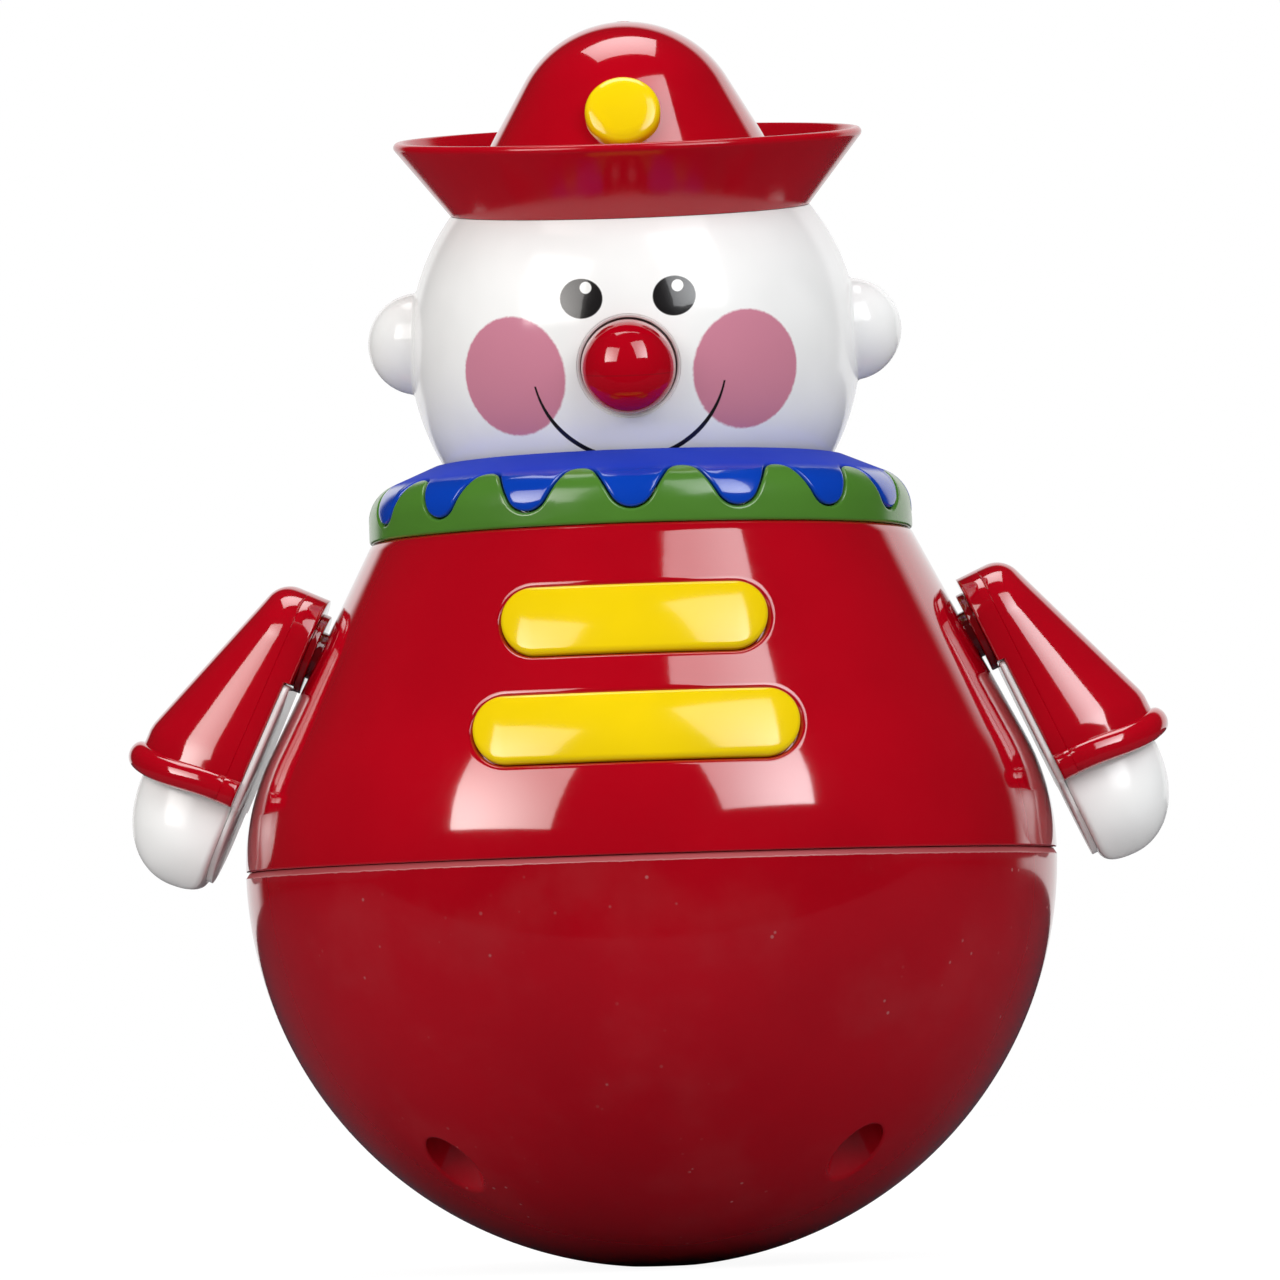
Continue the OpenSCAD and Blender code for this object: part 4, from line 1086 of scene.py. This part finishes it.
# Hat
def hat_moulding():
    skin = Skin(HEAD)
    along = Vector((sind(RIM_SLOPE), cosd(RIM_SLOPE)))
    inward = Vector((-along.y, along.x))
    low = Vector((HAT_SEAT_R, HAT_SEAT + 0.05))
    tip = low + along * RIM_LEN
    low_in = low + inward * RIM_T
    floor_in = low_in + along * ((TROUGH - low_in.y) / along.y)
    tip_in = tip + inward * RIM_T
    cone_r = CROWN_R * cosd(CROWN_DEG)
    touch = CROWN_A + CROWN_R * sind(CROWN_DEG)
    foot = (cone_r + (touch - TROUGH) * tand(CROWN_DEG), TROUGH)
    path = soft([(0, low.y, 0), (*low, 0.35), (*tip, 0.78), (*tip_in, 0.78), (*floor_in, 1.0),
                 (*foot, 1.4), (cone_r, touch, 0)], 6)
    path = spaced(path, 1.2)
    dome = [(CROWN_R * cosd(a), CROWN_A + CROWN_R * sind(a))
            for a in steps(CROWN_DEG, 86, 28)[1:]]
    gate = [(r, CROWN_A + CROWN_R - drop)
            for r, drop in ((1.1, 0.02), (1.0, 0.12), (0.35, 0.1), (0, 0.05))]
    skin.turned(path + dome + gate)
    return skin


def badge_disc():
    above = CROWN_A + CROWN_R * sind(CROWN_DEG) - BADGE_A
    cone_r = CROWN_R * cosd(CROWN_DEG) + above * tand(CROWN_DEG)
    skin = Skin(HEAD @ Matrix.Translation((0, -cone_r, BADGE_A)) @ turn(90 - CROWN_DEG, "X"))
    top = BADGE_T - BADGE_DEPTH
    path = soft([(0, -BADGE_DEPTH, 0), (BADGE_R, -BADGE_DEPTH, 0.2), (BADGE_R, top, BADGE_ROUND),
                 (0, top, 0)], 8)
    crowned = [(r, z + (BADGE_CROWN * (1 - (r / BADGE_R) ** 2) if z > top - 0.01 else 0))
               for r, z in spaced(path, 1.0)]
    skin.turned(crowned, FINE_ROUND)
    return skin


show("hat_moulding", hat_moulding(), red_hat, "head", "red_plastic", "hat")
show("badge_disc", badge_disc(), yellow_gloss, "head", "yellow_plastic", "hat_badge")


# Arms
def arm_place(side):
    return turn(side, "Z") @ Matrix.Translation((ARM_X, 0, ARM_Z)) @ turn(90 - ARM_LEAN, "Y")


def d_ring(t, w, s0, s1, s2, edge, groove=0.0, bow=0.0):
    """A section of width 2w: a round front to s2, a parting groove at s1, a flat back at s0."""
    edge = max(0.0, min(edge, w * 0.8, (s1 - s0) * 0.8))
    groove = min(groove, w * 0.1, (s2 - s1) * 0.1)
    lead = math.degrees(math.asin(groove / (s2 - s1))) if groove > TINY else 0.0
    front = [(t + bow * sind(2 * a) ** 2, w * sind(a), s1 + (s2 - s1) * cosd(a))
             for a in steps(lead - 90, 90 - lead, 44)]
    side = [(t, w - groove, s1)] + [(t, w, lerp(s1 - groove, s0 + edge, k)) for k in steps(0, 1, 2)]
    right = side + [(t, w - inset, s0 + rise) for inset, rise in quarter(edge, 4)[1:]]
    return front + right + [(t, -y, s) for t, y, s in reversed(right)]


def flare_thick(t):
    return SLEEVE_THICK + t * tand(FLARE_DEG)


ROUND_T = SHOULDER_ROUND - SLEEVE_TOP_R
ROUND_S = flare_thick(ROUND_T) - SHOULDER_ROUND / cosd(FLARE_DEG)
ROUND_END = ROUND_T - SHOULDER_ROUND * sind(FLARE_DEG)


def sleeve_out(t):
    if t < ROUND_END:
        return ROUND_S + math.sqrt(max(0.0, SHOULDER_ROUND ** 2 - (t - ROUND_T) ** 2))
    return flare_thick(min(t, FLARE_LEN))


def sleeve_half_w(t):
    if t < 0:
        return math.sqrt(max(0.0, SLEEVE_TOP_R ** 2 - t * t))
    return lerp(SLEEVE_TOP_R, CUFF_HALF_W, min(t / FLARE_LEN, 1))


def bead(t):
    x = (t - BEAD_T) / BEAD_R
    return BEAD_H * math.sqrt(1 - x * x) if abs(x) < 1 else 0.0


def sleeve_ring(t, inset=0.0):
    back = BACK_S - (PLATE_T - 0.05 if t < PLATE_TOP else 0)
    bow = CUFF_BOW * max(0.0, min(1.0, (t - BOW_START) / BOW_RUN))
    raised = bead(t) - inset
    return d_ring(t, max(0.0, sleeve_half_w(t) + raised), back, BACK_S + SLEEVE_SIDE,
                  BACK_S + sleeve_out(t) + raised, SLEEVE_EDGE, PARTING, bow)


def mean_s(row):
    return sum(s for _, _, s in row) / len(row)


def sleeve_moulding(side):
    skin = Skin(arm_place(side))
    rows = [sleeve_ring(-SLEEVE_TOP_R * sind(a)) for a in steps(89.5, 0, 30)]
    rows += [sleeve_ring(t) for t in steps(0, PLATE_TOP - 0.02, 5)[1:]]
    rows += [sleeve_ring(t) for t in steps(PLATE_TOP + 0.1, BEAD_T - BEAD_R, 15)]
    rows += [sleeve_ring(BEAD_T - BEAD_R * cosd(a)) for a in steps(0, 160, 18)[1:]]
    mouth = SLEEVE_WALL - 0.6
    rows += [sleeve_ring(CUFF_END, inset) for inset in (0.3, 0.8, mouth)]
    rows += [sleeve_ring(t, mouth + 0.3) for t in (CUFF_END - 0.4, CUFF_END - 6)]
    first, last = skin.tube(rows)
    skin.cap(first, (-SLEEVE_TOP_R, 0, mean_s(rows[0])))
    skin.cap(last, (CUFF_END - 6, 0, BACK_S + 8))
    return skin


def hand_ring(f):
    """A section of the mitten, f of the way from the cuff to its broad round tip."""
    round_w = math.sqrt(max(0.0, 1 - (max(f - HAND_TAPER, 0) / (1 - HAND_TAPER)) ** 3))
    belly = HAND_BELLY * sind(180 * f)
    back = BACK_S + HAND_TIP * (1 - math.sqrt(1 - f ** HAND_BACK_POWER))
    front = (BACK_S + HAND_TIP
             + (HAND_THICK - HAND_TIP) * math.sqrt(1 - f ** HAND_FRONT_POWER))
    return d_ring(CUFF_END + HAND_LEN * f, (HAND_HALF_W - HAND_BELLY + belly) * round_w, back,
                  lerp(back, front, 0.18), front, 1.0)


def hand_moulding(side):
    skin = Skin(arm_place(side))
    root = hand_ring(0.0)
    tang = [(CUFF_END - HAND_TANG, y * 0.97, s * 0.97 + 0.1) for t, y, s in root]
    rows = [tang, root] + [hand_ring(1 - (1 - x) ** 1.7) for x in steps(0, 0.985, 34)[1:]]
    first, last = skin.tube(rows)
    skin.cap(first, (CUFF_END - HAND_TANG, 0, BACK_S + 7))
    skin.cap(last, (CUFF_END + HAND_LEN, 0, mean_s(rows[-1])))
    return skin


def plate_outline(shy):
    """The arm's outline from behind, below the hub and shy of the sleeve's and the hand's edges."""
    hand_w = HAND_HALF_W - 2 * shy
    tip = CUFF_END + HAND_LEN - hand_w - PLATE_SHORT
    top, top_w = PLATE_TOP + shy / 2, sleeve_half_w(PLATE_TOP) - shy
    half = [(top, 0), (top, top_w / 2), (top, top_w - 0.8), (top + 0.3, top_w - 0.2)]
    half += [(t, sleeve_half_w(t) - shy) for t in steps(PLATE_TOP + 1, CUFF_END - 0.5, 8)]
    half += [(CUFF_END, CUFF_HALF_W - shy - 0.5), (CUFF_END, hand_w + 0.4),
             (CUFF_END + 0.5, hand_w)]
    half += [(tip + hand_w * sind(a), hand_w * cosd(a)) for a in steps(0, 90, 16)]
    return half + [(t, -w) for t, w in reversed(half[1:-1])]


def plate_moulding(side):
    skin = Skin(arm_place(side))
    low, high = HUB_GAP + HUB_T, BACK_S - 0.05
    levels = ((1.1, low), (0.8, low + 0.06), (0.55, low + 0.25), (0.45, low + 0.5), (0.45, high))
    rows = [[(t, w, s) for t, w in plate_outline(shy)] for shy, s in levels]
    for ring, level in zip(skin.tube(rows), (low, high)):
        skin.cap(ring, (CUFF_END / 2, 0, level))
    return skin


def hub_disc(side):
    skin = Skin(arm_place(side))
    root, top = -9, BACK_S + 1
    path = soft([(0, root, 0), (SHAFT_R, root, 0.4), (SHAFT_R, HUB_GAP, 0), (HUB_R, HUB_GAP, 0.25),
                 (HUB_R, HUB_GAP + HUB_T, 0.1), (HUB_END_R, HUB_GAP + HUB_T, 0),
                 (HUB_END_R, top, 0.2), (0, top, 0)], 4)
    skin.turned(path, FINE_ROUND)
    return skin


for side_name, side in (("left", 0), ("right", 180)):
    arm = side_name + "_arm"
    for label, make, finish, slot, node in (
            ("sleeve_moulding", sleeve_moulding, red_gloss, "red_plastic", "sleeve"),
            ("hand_moulding", hand_moulding, white_gloss, "white_plastic", "hand"),
            ("plate_moulding", plate_moulding, white_gloss, "white_plastic", "back_plate"),
            ("hub_disc", hub_disc, red_gloss, "red_plastic", "arm_shaft")):
        show(side_name + "_" + label, make(side), finish, arm, slot, side_name + "_" + node)

# Solids that stay as they are, inside the figure
KEPT = {
    cast_iron: ("ballast_weight",),
    bright_steel: ("ballast_screw", "neck_screws", "neck_washer_screw", "nose_clip", "nose_spring",
                   "left_arm_screw", "right_arm_screw"),
    white_gloss: ("ballast_cover", "neck_post", "neck_washer", "left_arm_washer",
                  "right_arm_washer")}
for finish, names in KEPT.items():
    for name in names:
        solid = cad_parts[name]
        if not solid.material_slots:
            solid.data.materials.append(finish)
        for holder in solid.material_slots:
            holder.material = finish


# Floor, light and camera
FLOOR_FRONT, FLOOR_WIDE = -190.0, 1600.0
LAMP_AIM = (0, -0.04, 0.09)
LAMP_FAR = 1.1
HOT, COOL = 1.3, 0.5
PAPER = 0.9
PAPER_TURN = 8
DIM_ROOM = 0.015
FILL = 0.5


def floor_sheet():
    """A wide pale table that ends a little in front of the figure."""
    skin = Skin()
    corners = [(-FLOOR_WIDE, FLOOR_FRONT, 0), (FLOOR_WIDE, FLOOR_FRONT, 0),
               (FLOOR_WIDE, FLOOR_WIDE, 0), (-FLOOR_WIDE, FLOOR_WIDE, 0)]
    skin.faces.append(skin.ring(corners))
    return mesh_of("floor_sheet", skin)


def floor_finish():
    """Paper that is white to the camera and dim where the figure mirrors it."""
    material, nodes, place = new_finish("floor_paper")
    fibre = nodes.noise(place, 90.0, 3.0)
    shade = nodes.blend(fibre, (0.48, 0.48, 0.49, 1.0), (0.52, 0.52, 0.52, 1.0))
    seen, mirrored = nodes.rays("Camera", "Glossy")
    shade = nodes.blend(mirrored, shade, (0.045, 0.045, 0.055, 1.0))
    paper = nodes.add("ShaderNodeBsdfDiffuse", {"Color": shade})
    glow = nodes.add("ShaderNodeEmission", {"Color": (1, 1, 1, 1), "Strength": 1.25})
    links = {"Fac": seen * 0.75, "Shader": paper, "Shader_001": glow}
    lit = nodes.add("ShaderNodeMixShader", links)
    nodes.add("ShaderNodeOutputMaterial", {"Surface": lit})
    return material


def studio_world():
    """White paper behind the figure, and a dim studio round the camera."""
    world = bpy.data.worlds.new("studio")
    bpy.context.scene.world = world
    world.use_nodes = True
    nodes = Nodes(world.node_tree)
    x, y, _ = nodes.parts(nodes.add("ShaderNodeTexCoord", output="Generated"))
    seen, scattered = nodes.rays("Camera", "Diffuse")
    paper = (y * cosd(PAPER_TURN) + x * sind(PAPER_TURN)).smooth(0.7, 0.8)
    room = PAPER * paper + DIM_ROOM + scattered * FILL
    strength = seen + (1 - seen) * room
    glow = nodes.add("ShaderNodeBackground", {"Color": (1, 1, 1, 1), "Strength": strength})
    nodes.add("ShaderNodeOutputWorld", {"Surface": glow})


def softbox(name, azimuth, elevation, across, high, glow, colour, hot):
    """A lamp at these angles from the figure, across and high in degrees, brightest at hot."""
    lamp = bpy.data.lights.new(name, "AREA")
    lamp.shape = "RECTANGLE"
    lamp.size = 2 * LAMP_FAR * tand(across / 2)
    lamp.size_y = 2 * LAMP_FAR * tand(high / 2)
    lamp.energy = glow * math.pi * lamp.size * lamp.size_y
    lamp.color = colour
    lamp.use_nodes = True
    nodes = Nodes(lamp.node_tree)
    u, v, _ = nodes.parts(nodes.add("ShaderNodeNewGeometry", output="Parametric"))
    fade = length(u - hot[0], v - hot[1]).smooth(0.1, 1.2)
    silk = nodes.add("ShaderNodeEmission", {"Strength": HOT - fade * (HOT - COOL)})
    nodes.add("ShaderNodeOutputLight", {"Surface": silk})
    box = put(name, lamp)
    level = cosd(elevation)
    way = Vector((sind(azimuth) * level, -cosd(azimuth) * level, sind(elevation)))
    box.location = Vector(LAMP_AIM) + way * LAMP_FAR
    box.rotation_euler = way.to_track_quat("Z", "Y").to_euler()


floor = put("floor_sheet", floor_sheet())
floor.data.materials.append(floor_finish())
studio_world()
softbox("left_softbox", -42, 28, 31, 32, 5.3, (1.0, 0.97, 0.94), (0.0, 0.0))
softbox("right_softbox", 37, 39, 28, 41, 4.9, (0.96, 0.98, 1.0), (1.0, 0.0))
softbox("top_softbox", 192, 80, 38, 26, 2.8, (1.0, 1.0, 1.0), (0.5, 0.5))

# The photograph's frame, in its own pixels
FRAME_PX = 1280
FOCAL_PX = 8602.0
SENSOR = 36.0
EYE_AZ, EYE_FAR, EYE_HIGH = 1.75, 1380.0, 41.0
LEAN = 1.85
BALL_PX = (651.5, 860.7)


def place_camera():
    lens = bpy.data.cameras.new("camera")
    lens.sensor_width = SENSOR
    lens.lens = FOCAL_PX * SENSOR / FRAME_PX
    lens.clip_end = 20
    camera = put("camera", lens)
    bpy.context.scene.camera = camera
    eye = Vector((EYE_FAR * sind(EYE_AZ), -EYE_FAR * cosd(EYE_AZ), EYE_HIGH))
    to_ball = (Vector((0, 0, SEAM_Z)) - eye).normalized()
    across, up_share = [(p - FRAME_PX / 2) / FOCAL_PX for p in BALL_PX]
    ahead = to_ball
    for _ in range(6):
        level = ahead.cross(Vector((0, 0, 1))).normalized()
        plumb = level.cross(ahead)
        right = level * cosd(LEAN) - plumb * sind(LEAN)
        up = plumb * cosd(LEAN) + level * sind(LEAN)
        ahead = (to_ball - right * across + up * up_share).normalized()
    look = Matrix((right, up, -ahead)).transposed().to_4x4()
    camera.matrix_world = Matrix.Translation(eye * MM) @ look


place_camera()
bpy.context.scene.view_settings.view_transform = "Standard"
